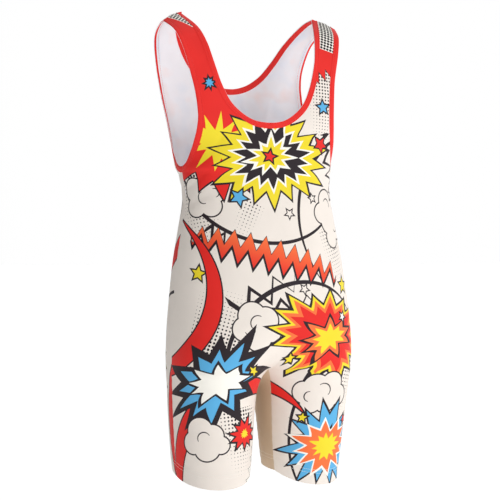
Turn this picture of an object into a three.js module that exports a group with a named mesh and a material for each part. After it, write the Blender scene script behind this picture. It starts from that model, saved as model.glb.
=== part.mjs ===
import * as THREE from 'three';

// A wrestling singlet as it is worn, hollow, in millimetres.
// Z is up, the front faces -Y, the wearer's left is +X.
// The origin lies between the two strap crests, where the shoulders hold the garment.

// Driving dimensions
const panelWall = 1.6;
const bindingWall = 2.6;
const bindingWidth = 10;
const hemWall = 1.2;
const hemDepth = 24;
const seamGap = 0.3;
const forkGap = 1.1;
const rowSpacing = 20;
const columnsAcross = 10;
const gussetColumns = 5;

// Colours of the cloth
const cream = 0xece4d8;
const red = 0xec3a32;
const beige = 0xd8c4ac;
const clothRoughness = 0.72;

// Every row of cloth runs from an outer edge to an inner edge, on the wearer's left half.
// outer: point on the armhole edge or the side seam.
// inner: point on the neckline, the centre line or the inner-leg seam.
// leave: degrees turned from straight forward (or back) towards the centre, then pull in mm.
// arrive: degrees turned from straight outward towards the front (or back), then pull in mm.
// dip: how much lower than its two ends the row hangs halfway.

// Strap and chest of the front panel, from the shoulder seam down to the top of the side seam
const frontYoke = [
  { outer: [162, -2, -15], inner: [139, 9, -4], leave: [115, 8], arrive: [26, 8], dip: -2 },
  { outer: [152, -34, -37], inner: [124, -28, -31], leave: [103, 9], arrive: [8, 9], dip: -1 },
  { outer: [142, -51, -70], inner: [115, -48, -61], leave: [93, 10], arrive: [2, 10], dip: 0 },
  { outer: [132, -60, -113], inner: [107, -60, -96], leave: [86, 10], arrive: [2, 10], dip: 0 },
  { outer: [126, -68, -149], inner: [93, -69, -141], leave: [82, 12], arrive: [4, 12], dip: 0 },
  { outer: [123, -73, -186], inner: [73, -75, -176], leave: [78, 18], arrive: [5, 18], dip: 0 },
  { outer: [124, -72, -210], inner: [38, -80, -202], leave: [72, 28], arrive: [3, 30], dip: 0 },
  { outer: [127, -67, -232], inner: [0, -81, -209], leave: [62, 42], arrive: [0, 58], dip: 0 },
  { outer: [132, -58, -256], inner: [0, -91, -246], leave: [42, 42], arrive: [0, 72], dip: 0 },
  { outer: [139, -42, -279], inner: [0, -98, -276], leave: [16, 48], arrive: [0, 82], dip: 0 },
];

// Strap and shoulder blade of the back panel, from the shoulder seam down likewise
const backYoke = [
  { outer: [162, -2, -15], inner: [139, 9, -4], leave: [65, 8], arrive: [-26, 8], dip: -2 },
  { outer: [157, 27, -18], inner: [133, 30, -9], leave: [82, 9], arrive: [-8, 9], dip: -2 },
  { outer: [151, 59, -33], inner: [122, 55, -26], leave: [92, 10], arrive: [2, 10], dip: -1 },
  { outer: [145, 77, -56], inner: [108, 75, -50], leave: [88, 12], arrive: [4, 12], dip: 0 },
  { outer: [138, 87, -90], inner: [90, 85, -80], leave: [80, 16], arrive: [4, 16], dip: 0 },
  { outer: [134.5, 86, -118], inner: [65, 89, -110], leave: [72, 22], arrive: [3, 22], dip: 0 },
  { outer: [133.5, 80, -142], inner: [34, 89, -130], leave: [62, 32], arrive: [2, 34], dip: 0 },
  { outer: [133, 73, -162], inner: [0, 88, -137], leave: [52, 42], arrive: [0, 56], dip: 0 },
  { outer: [133, 61, -192], inner: [0, 92, -178], leave: [40, 46], arrive: [0, 66], dip: 0 },
  { outer: [134, 48, -222], inner: [0, 88, -216], leave: [30, 48], arrive: [0, 72], dip: 0 },
  { outer: [136.5, 31, -252], inner: [0, 80, -250], leave: [18, 50], arrive: [0, 77], dip: 0 },
  { outer: [140, 5, -279], inner: [0, 73, -277], leave: [8, 50], arrive: [0, 82], dip: 0 },
];

// Body and legs, from the top of the side seam down to the hem. side is shared by both panels;
// front and back hold the inner point, its lean and pull, and the pull at the side seam.
// keel is the innermost line of the gusset between the panels, as x and z.
const bodyRows = [
  { side: [141, -20, -286], front: [0, -103, -300, 0, 86, 54], back: [0, 67, -300, 0, 84, 52] },
  { side: [139, -30, -334], front: [0, -112, -338, 0, 84, 51], back: [0, 58, -336, 0, 82, 52] },
  { side: [148, -32, -391], front: [0, -122, -391, 0, 88, 54], back: [0, 62, -391, 0, 88, 56] },
  { side: [156.5, -34, -440], front: [0, -132, -440, 0, 93, 60], back: [0, 69, -440, 0, 93, 63] },
  { side: [163, -37, -495], front: [0, -141, -495, 0, 97, 67], back: [0, 73, -495, 0, 98, 70] },
  { side: [167.5, -39, -549], front: [0, -146, -549, 2, 99, 76], back: [0, 75, -549, 3, 101, 77] },
  { side: [168.5, -39, -592], front: [0, -141, -590, 7, 99, 85], back: [0, 71, -590, 9, 100, 84] },
  { side: [168.5, -39, -618], front: [0, -126, -612, 17, 97, 87], back: [0, 65, -613, 19, 97, 88] },
  { side: [168, -38, -632], front: [0, -104, -625, 34, 95, 94], back: [0, 57, -628, 34, 93, 92] },
  {
    side: [167.5, -37, -642], keel: [0, -657],
    front: [0, -76, -633, 54, 103, 105], back: [0, 45, -640, 50, 95, 98],
  },
  {
    side: [167, -36, -652], keel: [3.5, -661],
    front: [6, -69, -642, 64, 99, 105], back: [6, 41, -647, 58, 91, 96],
  },
  {
    side: [166, -35, -664], keel: [7, -669],
    front: [11, -62, -655, 70, 97, 104], back: [11, 35, -659, 62, 89, 95],
  },
  {
    side: [165, -33, -682], keel: [10, -685],
    front: [15, -56, -675, 73, 94, 103], back: [16, 28, -678, 64, 87, 94],
  },
  {
    side: [163, -31, -710], keel: [12.5, -710],
    front: [17.5, -53, -704, 74, 90, 98], back: [20, 23, -706, 64, 86, 92],
  },
  {
    side: [159.5, -28, -752], keel: [15, -752],
    front: [19.5, -51, -750, 74, 87, 93], back: [24.5, 19, -752, 64, 82, 88],
  },
  {
    side: [156, -25, -788], keel: [18, -786], frontDip: 8, backDip: -5,
    front: [22, -50, -786, 74, 83, 88], back: [28, 18, -786, 64, 78, 84],
  },
  {
    side: [153, -23, -819], keel: [21, -811], frontDip: 22, backDip: -16,
    front: [25, -50, -815, 74, 78, 82], back: [31, 17, -808, 64, 73, 79],
  },
];

// The largest folds, each a soft trough on one panel.
// at: middle as x and z; turn: degrees from level; deep is negative for a ridge.
const folds = [
  { panel: 'front', at: [-104, -306], turn: 24, long: 40, wide: 15, deep: 1.8 },
  { panel: 'front', at: [106, -312], turn: -20, long: 38, wide: 15, deep: 1.6 },
  { panel: 'front', at: [-30, -604], turn: 52, long: 26, wide: 13, deep: 1.8 },
  { panel: 'front', at: [32, -600], turn: -48, long: 26, wide: 13, deep: 1.6 },
  { panel: 'back', at: [-64, -322], turn: 12, long: 50, wide: 17, deep: 2.4 },
  { panel: 'back', at: [60, -342], turn: -10, long: 48, wide: 16, deep: 2.2 },
  { panel: 'back', at: [-76, -640], turn: 20, long: 40, wide: 18, deep: 1.4 },
  { panel: 'back', at: [78, -644], turn: -18, long: 40, wide: 18, deep: 1.3 },
];

const radians = THREE.MathUtils.degToRad;
const point = (values) => new THREE.Vector3(...values);
const flipSide = (p) => new THREE.Vector3(-p.x, p.y, p.z);

// One row of cloth as a cubic curve from its outer to its inner edge; facing is -1 at the front
function rowCurve(row, facing) {
  const [leaveLean, leavePull] = row.leave;
  const [arriveLean, arrivePull] = row.arrive;
  const start = point(row.outer);
  const end = point(row.inner);
  const third = (end.z - start.z) / 3;
  const sag = (row.dip * 4) / 3;
  const startPull = new THREE.Vector3(
    -Math.sin(radians(leaveLean)) * leavePull,
    facing * Math.cos(radians(leaveLean)) * leavePull,
    third - sag,
  );
  const endPull = new THREE.Vector3(
    Math.cos(radians(arriveLean)) * arrivePull,
    facing * Math.sin(radians(arriveLean)) * arrivePull,
    -third - sag,
  );
  return new THREE.CubicBezierCurve3(start, start.clone().add(startPull), end.clone().add(endPull), end);
}

// A body row as a row of the front or back panel
function panelRow(row, side) {
  const [x, y, z, lean, pull, sidePull] = row[side];
  return {
    outer: row.side,
    inner: [x, y, z],
    leave: [0, sidePull],
    arrive: [lean, pull],
    dip: row[`${side}Dip`] ?? 0,
  };
}

// Smooth value between listed rows: a cubic through the rows with slopes from their neighbours
function smoothValue(before, from, to, after, t) {
  const slopeFrom = (to - before) / 2;
  const slopeTo = (after - from) / 2;
  const t2 = t * t;
  const t3 = t2 * t;
  return (2 * t3 - 3 * t2 + 1) * from + (t3 - 2 * t2 + t) * slopeFrom
    + (3 * t2 - 2 * t3) * to + (t3 - t2) * slopeTo;
}

// First and last listed row of the edge line that a row's end belongs to: armhole or side seam
// on the outside; neckline, centre line or inner-leg seam on the inside
function edgeSpan(curves, key, at) {
  const last = curves.length - 1;
  if (key === 'v0') return at < curves.seamTop ? [0, curves.seamTop] : [curves.seamTop, last];
  if (key === 'v3' && at >= curves.fork) return [curves.fork, last];
  if (key === 'v3') return at < curves.neckRow ? [0, curves.neckRow] : [curves.neckRow, curves.fork];
  return [0, last];
}

// Corner of a row's curve a fraction t of the way from one listed row to the next
function smoothPoint(curves, key, at, t) {
  const [first, last] = edgeSpan(curves, key, at);
  const pick = (index) => curves[THREE.MathUtils.clamp(index, first, last)][key];
  const before = pick(at - 1);
  const from = pick(at);
  const to = pick(at + 1);
  let after = pick(at + 2);
  if (key === 'v3' && at + 1 === curves.neckRow) after = flipSide(from);
  if (key === 'v0' && at + 1 === curves.seamTop) after = curves.beyondSeam;
  return new THREE.Vector3(
    smoothValue(before.x, from.x, to.x, after.x, t),
    smoothValue(before.y, from.y, to.y, after.y, t),
    smoothValue(before.z, from.z, to.z, after.z, t),
  );
}

// How many steps each stretch between two listed rows is divided into
function stepCounts(curves, firstStep, lastStep) {
  const counts = [];
  for (let i = firstStep; i < lastStep; i += 1) {
    const outerRun = curves[i].v0.distanceTo(curves[i + 1].v0);
    const innerRun = curves[i].v3.distanceTo(curves[i + 1].v3);
    counts.push(Math.max(1, Math.round(Math.max(outerRun, innerRun) / rowSpacing)));
  }
  return counts;
}

// How far the folds push a point of a panel inwards
function foldDepth(panel, p) {
  let depth = 0;
  for (const fold of folds) {
    if (fold.panel !== panel) continue;
    const turn = radians(fold.turn);
    const dx = p.x - fold.at[0];
    const dz = p.z - fold.at[1];
    const along = (dx * Math.cos(turn) + dz * Math.sin(turn)) / fold.long;
    const across = (dz * Math.cos(turn) - dx * Math.sin(turn)) / fold.wide;
    depth += fold.deep * Math.exp(-along * along - across * across);
  }
  return depth;
}

// The row of cloth at a fraction t of the way from one listed row to the next
function crossCurve(curves, i, t) {
  const corners = ['v0', 'v1', 'v2', 'v3'].map((key) => smoothPoint(curves, key, i, t));
  return new THREE.CubicBezierCurve3(...corners);
}

// Left-half grid of a panel: dense rows of points from the outer to the inner edge
function halfGrid(curves, counts) {
  const grid = [];
  counts.forEach((count, i) => {
    const last = i === counts.length - 1;
    const steps = last ? count + 1 : count;
    for (let k = 0; k < steps; k += 1) {
      grid.push(crossCurve(curves, i, k / count).getSpacedPoints(columnsAcross));
    }
  });
  return grid;
}

// A surface keeps each point twice: where the cloth would meet its neighbour, and where its own
// edge lies after half a seam gap. faces are triangles of point numbers.
function emptySurface() {
  return { met: [], cut: [], faces: [] };
}

// Adds a point and answers with its number
function addPoint(surface, met, cut) {
  surface.met.push(met);
  surface.cut.push(cut);
  return surface.met.length - 1;
}

// Adds a four-sided patch as two triangles
function addQuad(surface, a, b, c, d, flip) {
  const faces = flip ? [[a, c, b], [a, d, c]] : [[a, b, c], [a, c, d]];
  surface.faces.push(...faces);
}

// Grid pulled back by half a seam gap along its own edges; fork is the row where the legs part
function pulledBack(grid, edges) {
  const half = seamGap / 2;
  const stepTo = (from, to) => to.clone().sub(from).setLength(half);
  return grid.map((row, r) => row.map((p, c) => {
    const moved = p.clone();
    if (edges.outer(r) && c === 0) moved.add(stepTo(p, row[1]));
    if (edges.inner(r) && c === row.length - 1) moved.add(stepTo(p, row[c - 1]));
    if (edges.first && r === 0) moved.add(stepTo(p, grid[1][c]));
    if (r === edges.fork && c === row.length - 1) {
      moved.add(grid[r - 1][c].clone().sub(p).setLength(forkGap));
    }
    return moved;
  }));
}

// Both halves of a grid; rows from closedFrom to closedTo meet at the centre line
function mirroredSurface(grid, edges, closedFrom, closedTo, facing) {
  const surface = emptySurface();
  const cutGrid = pulledBack(grid, edges);
  const centre = new Map();
  for (const hand of [1, -1]) {
    const index = grid.map((row, r) => row.map((p, c) => {
      const joined = c === row.length - 1 && r >= closedFrom && r <= closedTo;
      if (joined && centre.has(r)) return centre.get(r);
      const cut = cutGrid[r][c];
      const added = addPoint(surface, hand > 0 ? p : flipSide(p), hand > 0 ? cut : flipSide(cut));
      if (joined) centre.set(r, added);
      return added;
    }));
    const flip = hand * facing < 0;
    for (let r = 0; r < index.length - 1; r += 1) {
      for (let c = 0; c < index[r].length - 1; c += 1) {
        addQuad(surface, index[r][c], index[r + 1][c], index[r + 1][c + 1], index[r][c + 1], flip);
      }
    }
  }
  return surface;
}

// Normals of several surfaces; points where they meet share one normal
function sharedNormals(surfaces) {
  const meeting = new Map();
  const keyOf = (p) => p.toArray().map((value) => value.toFixed(2)).join(' ');
  for (const { met, faces } of surfaces) {
    for (const [a, b, c] of faces) {
      const ab = met[b].clone().sub(met[a]);
      const ac = met[c].clone().sub(met[a]);
      const normal = ab.cross(ac);
      for (const corner of [a, b, c]) {
        const key = keyOf(met[corner]);
        if (!meeting.has(key)) meeting.set(key, new THREE.Vector3());
        meeting.get(key).add(normal);
      }
    }
  }
  return surfaces.map(({ met }) => met.map((p) => meeting.get(keyOf(p)).clone().normalize()));
}

// Triangle mesh from a flat list of coordinates and of point numbers
function geometryFrom(positions, index) {
  const geometry = new THREE.BufferGeometry();
  geometry.setAttribute('position', new THREE.Float32BufferAttribute(positions, 3));
  geometry.setIndex(index);
  geometry.computeVertexNormals();
  return geometry;
}

// Closed wall between a surface moved out and the same surface moved in, in mm along its normals
function wallGeometry(points, normals, faces, outward, inward) {
  const count = points.length;
  const moved = (distance) => points.map((p, i) => p.clone().addScaledVector(normals[i], distance));
  const positions = [...moved(outward), ...moved(inward)].flatMap((p) => p.toArray());
  const index = [];
  const edges = new Map();
  for (const [a, b, c] of faces) {
    index.push(a, b, c, a + count, c + count, b + count);
    for (const [from, to] of [[a, b], [b, c], [c, a]]) {
      const opposite = `${to} ${from}`;
      if (edges.has(opposite)) edges.delete(opposite);
      else edges.set(`${from} ${to}`, [from, to]);
    }
  }
  for (const [from, to] of edges.values()) {
    index.push(to, from, from + count, to, from + count, to + count);
  }
  return geometryFrom(positions, index);
}

// Strip beside a line of stations. at: point on the edge of a panel, up: normal of the cloth,
// across: direction away from the panel.
function ribbonGeometry(stations, closed) {
  const half = bindingWall / 2;
  const corners = [
    [seamGap, half],
    [bindingWidth - 1, half],
    [bindingWidth, half * 0.4],
    [bindingWidth, -half * 0.4],
    [bindingWidth - 1, -half],
    [seamGap, -half],
  ];
  const positions = [];
  for (const { at, up, across } of stations) {
    for (const [beside, above] of corners) {
      const corner = at.clone().addScaledVector(across, beside).addScaledVector(up, above);
      positions.push(...corner.toArray());
    }
  }
  const ring = corners.length;
  const index = [];
  const spans = closed ? stations.length : stations.length - 1;
  for (let i = 0; i < spans; i += 1) {
    const here = i * ring;
    const next = ((i + 1) % stations.length) * ring;
    for (let k = 0; k < ring; k += 1) {
      const m = (k + 1) % ring;
      index.push(here + k, next + k, next + m, here + k, next + m, here + m);
    }
  }
  if (!closed) {
    const end = (stations.length - 1) * ring;
    for (let k = 1; k < ring - 1; k += 1) {
      index.push(0, k, k + 1, end, end + k + 1, end + k);
    }
  }
  return geometryFrom(positions, index);
}

// Directions across the strips that follow a closed line, always towards its opening
function facingOpening(loop) {
  const count = loop.length;
  return loop.map((station, i) => {
    const before = loop[(i + count - 1) % count].at;
    const after = loop[(i + 1) % count].at;
    const across = station.up.clone().cross(after.clone().sub(before)).normalize();
    return { ...station, across };
  });
}

// Part of a loop as an open strip whose two ends keep half a seam gap
function openStrip(stations) {
  const half = seamGap / 2;
  const last = stations.length - 1;
  const moved = (from, to) => {
    const at = stations[from].at.clone();
    at.add(stations[to].at.clone().sub(at).setLength(half));
    return { ...stations[from], at };
  };
  return ribbonGeometry([moved(0, 1), ...stations.slice(1, last), moved(last, last - 1)], false);
}

// The same piece for the other side of the body
function mirrored(geometry) {
  const copy = geometry.clone();
  copy.scale(-1, 1, 1);
  copy.setIndex([...copy.index.array].reverse());
  copy.computeVertexNormals();
  return copy;
}

// A strip's station on the other side of the body
const mirrorStation = ({ at, up }) => ({ at: flipSide(at), up: flipSide(up) });

// Points across the gusset at a body row: from the front seam over the keel to the back seam
function gussetRow(front, back, keel) {
  const bow = new THREE.Vector3(
    (keel.x - (front.x + back.x) / 2) / 0.75,
    0,
    (keel.z - (front.z + back.z) / 2) / 0.75,
  );
  const third = back.clone().sub(front).divideScalar(3);
  const frontPull = front.clone().add(third).add(bow);
  const backPull = back.clone().sub(third).add(bow);
  return new THREE.CubicBezierCurve3(front, frontPull, backPull, back).getSpacedPoints(gussetColumns);
}

// The body row where the legs part and the gusset begins
const crotchRow = bodyRows.findIndex((row) => row.keel !== undefined);

// Rows of a panel. seamTop, neckRow and fork are the listed rows where the side seam, the
// centre line and the legs begin; beyondSeam is the other panel's armhole point past the seam.
function panelCurves(yoke, side, facing, otherYoke) {
  const rows = [...yoke, ...bodyRows.map((row) => panelRow(row, side))];
  const curves = rows.map((row) => rowCurve(row, facing));
  curves.seamTop = yoke.length;
  curves.neckRow = rows.findIndex((row) => row.inner[0] === 0);
  curves.fork = yoke.length + crotchRow;
  curves.beyondSeam = point(otherYoke[otherYoke.length - 1].outer);
  return curves;
}

const frontCurves = panelCurves(frontYoke, 'front', -1, backYoke);
const backCurves = panelCurves(backYoke, 'back', 1, frontYoke);
const bodyCounts = stepCounts(frontCurves, frontYoke.length, frontCurves.length - 1);
const frontCounts = [...stepCounts(frontCurves, 0, frontYoke.length), ...bodyCounts];
const backCounts = [...stepCounts(backCurves, 0, backYoke.length), ...bodyCounts];
const total = (counts, upTo) => counts.slice(0, upTo).reduce((sum, count) => sum + count, 0);

// A panel's grid of the left half, and its whole surface
function panelSurface(curves, facing, counts) {
  const grid = halfGrid(curves, counts);
  const closedFrom = total(counts, curves.neckRow);
  const closedTo = total(counts, curves.fork);
  const sideSeamFrom = total(counts, curves.seamTop);
  const edges = {
    outer: (r) => r >= sideSeamFrom,
    inner: (r) => r > closedTo,
    first: true,
    fork: closedTo,
  };
  const surface = mirroredSurface(grid, edges, closedFrom, closedTo, facing);
  return { grid, closedFrom, sideSeamFrom, surface };
}

// Gusset: an arch from one leg's hem over the crotch to the other leg's hem
const keels = bodyRows.map((row) => (row.keel ? new THREE.Vector3(row.keel[0], 0, row.keel[1]) : null));

// Innermost line of the gusset; it crosses from leg to leg without a kink
function keelPoint(i, t) {
  const beyond = i === crotchRow ? flipSide(keels[i + 1]) : keels[i - 1];
  const after = keels[i + 2] ?? keels[i + 1];
  return new THREE.Vector3(
    smoothValue(beyond.x, keels[i].x, keels[i + 1].x, after.x, t),
    0,
    smoothValue(beyond.z, keels[i].z, keels[i + 1].z, after.z, t),
  );
}

// Points across the gusset between two body rows
function gussetAt(i, t) {
  const front = smoothPoint(frontCurves, 'v3', frontYoke.length + i, t);
  const back = smoothPoint(backCurves, 'v3', backYoke.length + i, t);
  return gussetRow(front, back, keelPoint(i, t));
}

// One strip of rows from the left hem over the crotch to the right hem
function gussetSurface() {
  const down = [];
  for (let i = crotchRow; i < bodyRows.length - 1; i += 1) {
    for (let k = 0; k < bodyCounts[i]; k += 1) down.push(gussetAt(i, k / bodyCounts[i]));
  }
  down.push(gussetAt(bodyRows.length - 2, 1));
  const otherLeg = down.slice(1).map((row) => row.map(flipSide));
  const arch = [...down.reverse(), ...otherLeg];
  const cutArch = pulledBack(arch, { outer: () => true, first: false, inner: () => true });
  const surface = emptySurface();
  const index = arch.map((row, r) => row.map((p, c) => addPoint(surface, p, cutArch[r][c])));
  for (let r = 0; r < index.length - 1; r += 1) {
    for (let c = 0; c < gussetColumns; c += 1) {
      addQuad(surface, index[r][c], index[r + 1][c], index[r + 1][c + 1], index[r][c + 1], false);
    }
  }
  return surface;
}

// Hem: the cloth turned up inside the leg, a ring a little smaller than the leg around it
function hemGeometry() {
  const last = bodyRows.length - 2;
  const fullRun = bodyRows[last].side[2] - bodyRows[last + 1].side[2];
  const steps = [1 - hemDepth / fullRun, 0.5, 1];
  const surface = emptySurface();
  const across = (curves, t) => crossCurve(curves, curves.length - 2, t).getSpacedPoints(columnsAcross);
  const ringAt = (t) => [
    ...across(frontCurves, t),
    ...gussetAt(last, t).slice(1, -1),
    ...across(backCurves, t).reverse().slice(0, -1),
  ];
  const index = steps.map((t) => ringAt(t).map((p) => addPoint(surface, p, p)));
  for (let r = 0; r < index.length - 1; r += 1) {
    const count = index[r].length;
    for (let c = 0; c < count; c += 1) {
      const next = (c + 1) % count;
      addQuad(surface, index[r][c], index[r + 1][c], index[r + 1][next], index[r][next], true);
    }
  }
  const [normals] = sharedNormals([surface]);
  const clear = -(panelWall / 2 + seamGap);
  return wallGeometry(surface.cut, normals, surface.faces, clear, clear - hemWall);
}

const front = panelSurface(frontCurves, -1, frontCounts);
const back = panelSurface(backCurves, 1, backCounts);
const gusset = gussetSurface();
const [frontNormals, backNormals, gussetNormals] = sharedNormals([front.surface, back.surface, gusset]);

// Panel with its folds and its thickness
function panelGeometry(name, surface, normals) {
  const creased = surface.cut.map((p, i) => p.clone().addScaledVector(normals[i], -foldDepth(name, p)));
  return wallGeometry(creased, normals, surface.faces, panelWall / 2, -panelWall / 2);
}

// Stations along one edge of the left half of a panel, from the shoulder seam down
function edgeStations(panel, normals, column, lastRow) {
  return panel.grid.slice(0, lastRow + 1).map((row, r) => ({
    at: row[column],
    up: normals[r * (columnsAcross + 1) + column],
  }));
}

// Folded strip round the left armhole, down the front and up the back
function armholeBinding() {
  const down = edgeStations(front, frontNormals, 0, front.sideSeamFrom);
  const up = edgeStations(back, backNormals, 0, back.sideSeamFrom).reverse();
  return ribbonGeometry(facingOpening([...down, ...up.slice(1, -1)]), true);
}

// Folded strips round the neckline, a back and a front length
function neckBindings() {
  const frontDown = edgeStations(front, frontNormals, columnsAcross, front.closedFrom);
  const backDown = edgeStations(back, backNormals, columnsAcross, back.closedFrom);
  const frontUp = frontDown.slice(1, -1).reverse();
  const backUp = backDown.slice(0, -1).reverse();
  const loop = facingOpening([
    ...backDown,
    ...backUp.map(mirrorStation),
    ...frontDown.slice(1).map(mirrorStation),
    ...frontUp,
  ]);
  const backSpan = backDown.length + backUp.length;
  return {
    back: openStrip(loop.slice(0, backSpan)),
    front: openStrip([...loop.slice(backSpan - 1), loop[0]]),
  };
}

// Named mesh with its colour
function cloth(colour, name, geometry) {
  const material = new THREE.MeshStandardMaterial({
    color: colour,
    roughness: clothRoughness,
    metalness: 0,
  });
  const mesh = new THREE.Mesh(geometry, material);
  mesh.name = name;
  return mesh;
}

const leftArmhole = armholeBinding();
const leftHem = hemGeometry();
const neck = neckBindings();
const group = new THREE.Group();
group.add(
  cloth(cream, 'front_panel', panelGeometry('front', front.surface, frontNormals)),
  cloth(cream, 'back_panel', panelGeometry('back', back.surface, backNormals)),
  cloth(beige, 'gusset', wallGeometry(gusset.cut, gussetNormals, gusset.faces, panelWall / 2, -panelWall / 2)),
  cloth(red, 'neck_binding_front', neck.front),
  cloth(red, 'neck_binding_back', neck.back),
  cloth(red, 'armhole_binding_left', leftArmhole),
  cloth(red, 'armhole_binding_right', mirrored(leftArmhole)),
  cloth(cream, 'hem_left', leftHem),
  cloth(cream, 'hem_right', mirrored(leftHem)),
);

export default group;
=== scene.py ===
"""Looks of a wrestling singlet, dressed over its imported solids: printed panels, folded bindings,
turned hems, gusset and stitches. It runs as a script in Blender 4.5 and is laid out as an add-on."""

import math
from collections import namedtuple

import bpy
import numpy as np
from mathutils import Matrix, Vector


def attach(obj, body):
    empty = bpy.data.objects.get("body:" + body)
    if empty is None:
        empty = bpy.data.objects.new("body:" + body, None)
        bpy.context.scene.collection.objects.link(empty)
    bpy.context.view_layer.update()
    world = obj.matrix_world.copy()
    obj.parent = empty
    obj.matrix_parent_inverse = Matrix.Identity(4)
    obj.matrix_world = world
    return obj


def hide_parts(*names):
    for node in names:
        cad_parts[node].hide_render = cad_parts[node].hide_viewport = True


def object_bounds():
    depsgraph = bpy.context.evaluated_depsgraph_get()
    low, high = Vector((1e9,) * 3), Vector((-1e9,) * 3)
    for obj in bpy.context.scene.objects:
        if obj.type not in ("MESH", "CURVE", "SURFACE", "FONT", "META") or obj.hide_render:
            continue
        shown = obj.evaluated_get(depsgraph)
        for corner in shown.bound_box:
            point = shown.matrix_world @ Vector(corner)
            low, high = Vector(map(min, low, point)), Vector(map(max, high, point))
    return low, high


bl_info = {
    "name": "Wrestling singlet",
    "version": (1, 0, 0),
    "blender": (4, 5, 0),
    "location": "View3D > Sidebar > Singlet",
    "description": "Dresses the packed singlet in its cloth, print, bindings, hems and stitches",
    "category": "Add Mesh",
}

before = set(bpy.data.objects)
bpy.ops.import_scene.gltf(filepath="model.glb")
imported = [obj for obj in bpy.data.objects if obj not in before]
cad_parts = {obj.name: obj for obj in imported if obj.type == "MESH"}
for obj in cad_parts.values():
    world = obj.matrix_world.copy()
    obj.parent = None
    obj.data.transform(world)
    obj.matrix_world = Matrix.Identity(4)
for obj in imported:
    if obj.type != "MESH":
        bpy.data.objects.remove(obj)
cad_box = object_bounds()

# Lengths in the tables below are in millimetres
MM = 0.001

# A row of cloth runs from its outer edge (armhole or side seam) to its inner edge (neckline,
# centre line or inner-leg seam), on the wearer's left half.
# leave: degrees turned from straight forward (or back) towards the centre, then pull.
# arrive: degrees turned from straight outward towards the front (or back), then pull.
# dip: how much lower than its two ends the row hangs halfway.
Row = namedtuple("Row", "outer inner leave arrive dip")

FRONT_YOKE = [
    Row((162, -2, -15), (139, 9, -4), (115, 8), (26, 8), -2),
    Row((152, -34, -37), (124, -28, -31), (103, 9), (8, 9), -1),
    Row((142, -51, -70), (115, -48, -61), (93, 10), (2, 10), 0),
    Row((132, -60, -113), (107, -60, -96), (86, 10), (2, 10), 0),
    Row((126, -68, -149), (93, -69, -141), (82, 12), (4, 12), 0),
    Row((123, -73, -186), (73, -75, -176), (78, 18), (5, 18), 0),
    Row((124, -72, -210), (38, -80, -202), (72, 28), (3, 30), 0),
    Row((127, -67, -232), (0, -81, -209), (62, 42), (0, 58), 0),
    Row((132, -58, -256), (0, -91, -246), (42, 42), (0, 72), 0),
    Row((139, -42, -279), (0, -98, -276), (16, 48), (0, 82), 0),
]

BACK_YOKE = [
    Row((162, -2, -15), (139, 9, -4), (65, 8), (-26, 8), -2),
    Row((157, 27, -18), (133, 30, -9), (82, 9), (-8, 9), -2),
    Row((151, 59, -33), (122, 55, -26), (92, 10), (2, 10), -1),
    Row((145, 77, -56), (108, 75, -50), (88, 12), (4, 12), 0),
    Row((138, 87, -90), (90, 85, -80), (80, 16), (4, 16), 0),
    Row((134.5, 86, -118), (65, 89, -110), (72, 22), (3, 22), 0),
    Row((133.5, 80, -142), (34, 89, -130), (62, 32), (2, 34), 0),
    Row((133, 73, -162), (0, 88, -137), (52, 42), (0, 56), 0),
    Row((133, 61, -192), (0, 92, -178), (40, 46), (0, 66), 0),
    Row((134, 48, -222), (0, 88, -216), (30, 48), (0, 72), 0),
    Row((136.5, 31, -252), (0, 80, -250), (18, 50), (0, 77), 0),
    Row((140, 5, -279), (0, 73, -277), (8, 50), (0, 82), 0),
]

# Body and legs: side is the side seam; front and back are x, y, z, lean, pull and the pull at the
# side seam; keel is the x and z of the gusset's innermost line; dips are for front and back.
BodyRow = namedtuple("BodyRow", "side front back keel dips", defaults=(None, (0, 0)))

BODY_ROWS = [
    BodyRow((141, -20, -286), (0, -103, -300, 0, 86, 54), (0, 67, -300, 0, 84, 52)),
    BodyRow((139, -30, -334), (0, -112, -338, 0, 84, 51), (0, 58, -336, 0, 82, 52)),
    BodyRow((148, -32, -391), (0, -122, -391, 0, 88, 54), (0, 62, -391, 0, 88, 56)),
    BodyRow((156.5, -34, -440), (0, -132, -440, 0, 93, 60), (0, 69, -440, 0, 93, 63)),
    BodyRow((163, -37, -495), (0, -141, -495, 0, 97, 67), (0, 73, -495, 0, 98, 70)),
    BodyRow((167.5, -39, -549), (0, -146, -549, 2, 99, 76), (0, 75, -549, 3, 101, 77)),
    BodyRow((168.5, -39, -592), (0, -141, -590, 7, 99, 85), (0, 71, -590, 9, 100, 84)),
    BodyRow((168.5, -39, -618), (0, -126, -612, 17, 97, 87), (0, 65, -613, 19, 97, 88)),
    BodyRow((168, -38, -632), (0, -104, -625, 34, 95, 94), (0, 57, -628, 34, 93, 92)),
    BodyRow((167.5, -37, -642), (0, -76, -633, 54, 103, 105), (0, 45, -640, 50, 95, 98), (0, -657)),
    BodyRow((167, -36, -652), (6, -69, -642, 64, 99, 105), (6, 41, -647, 58, 91, 96), (3.5, -661)),
    BodyRow((166, -35, -664), (11, -62, -655, 70, 97, 104), (11, 35, -659, 62, 89, 95), (7, -669)),
    BodyRow((165, -33, -682), (15, -56, -675, 73, 94, 103), (16, 28, -678, 64, 87, 94), (10, -685)),
    BodyRow((163, -31, -710), (17.5, -53, -704, 74, 90, 98), (20, 23, -706, 64, 86, 92), (12.5, -710)),
    BodyRow((159.5, -28, -752), (19.5, -51, -750, 74, 87, 93), (24.5, 19, -752, 64, 82, 88), (15, -752)),
    BodyRow(
        (156, -25, -788), (22, -50, -786, 74, 83, 88), (28, 18, -786, 64, 78, 84), (18, -786), (8, -5)
    ),
    BodyRow(
        (153, -23, -819), (25, -50, -815, 74, 78, 82), (31, 17, -808, 64, 73, 79), (21, -811), (22, -16)
    ),
]
CROTCH_ROW = next(i for i, row in enumerate(BODY_ROWS) if row.keel is not None)

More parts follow.
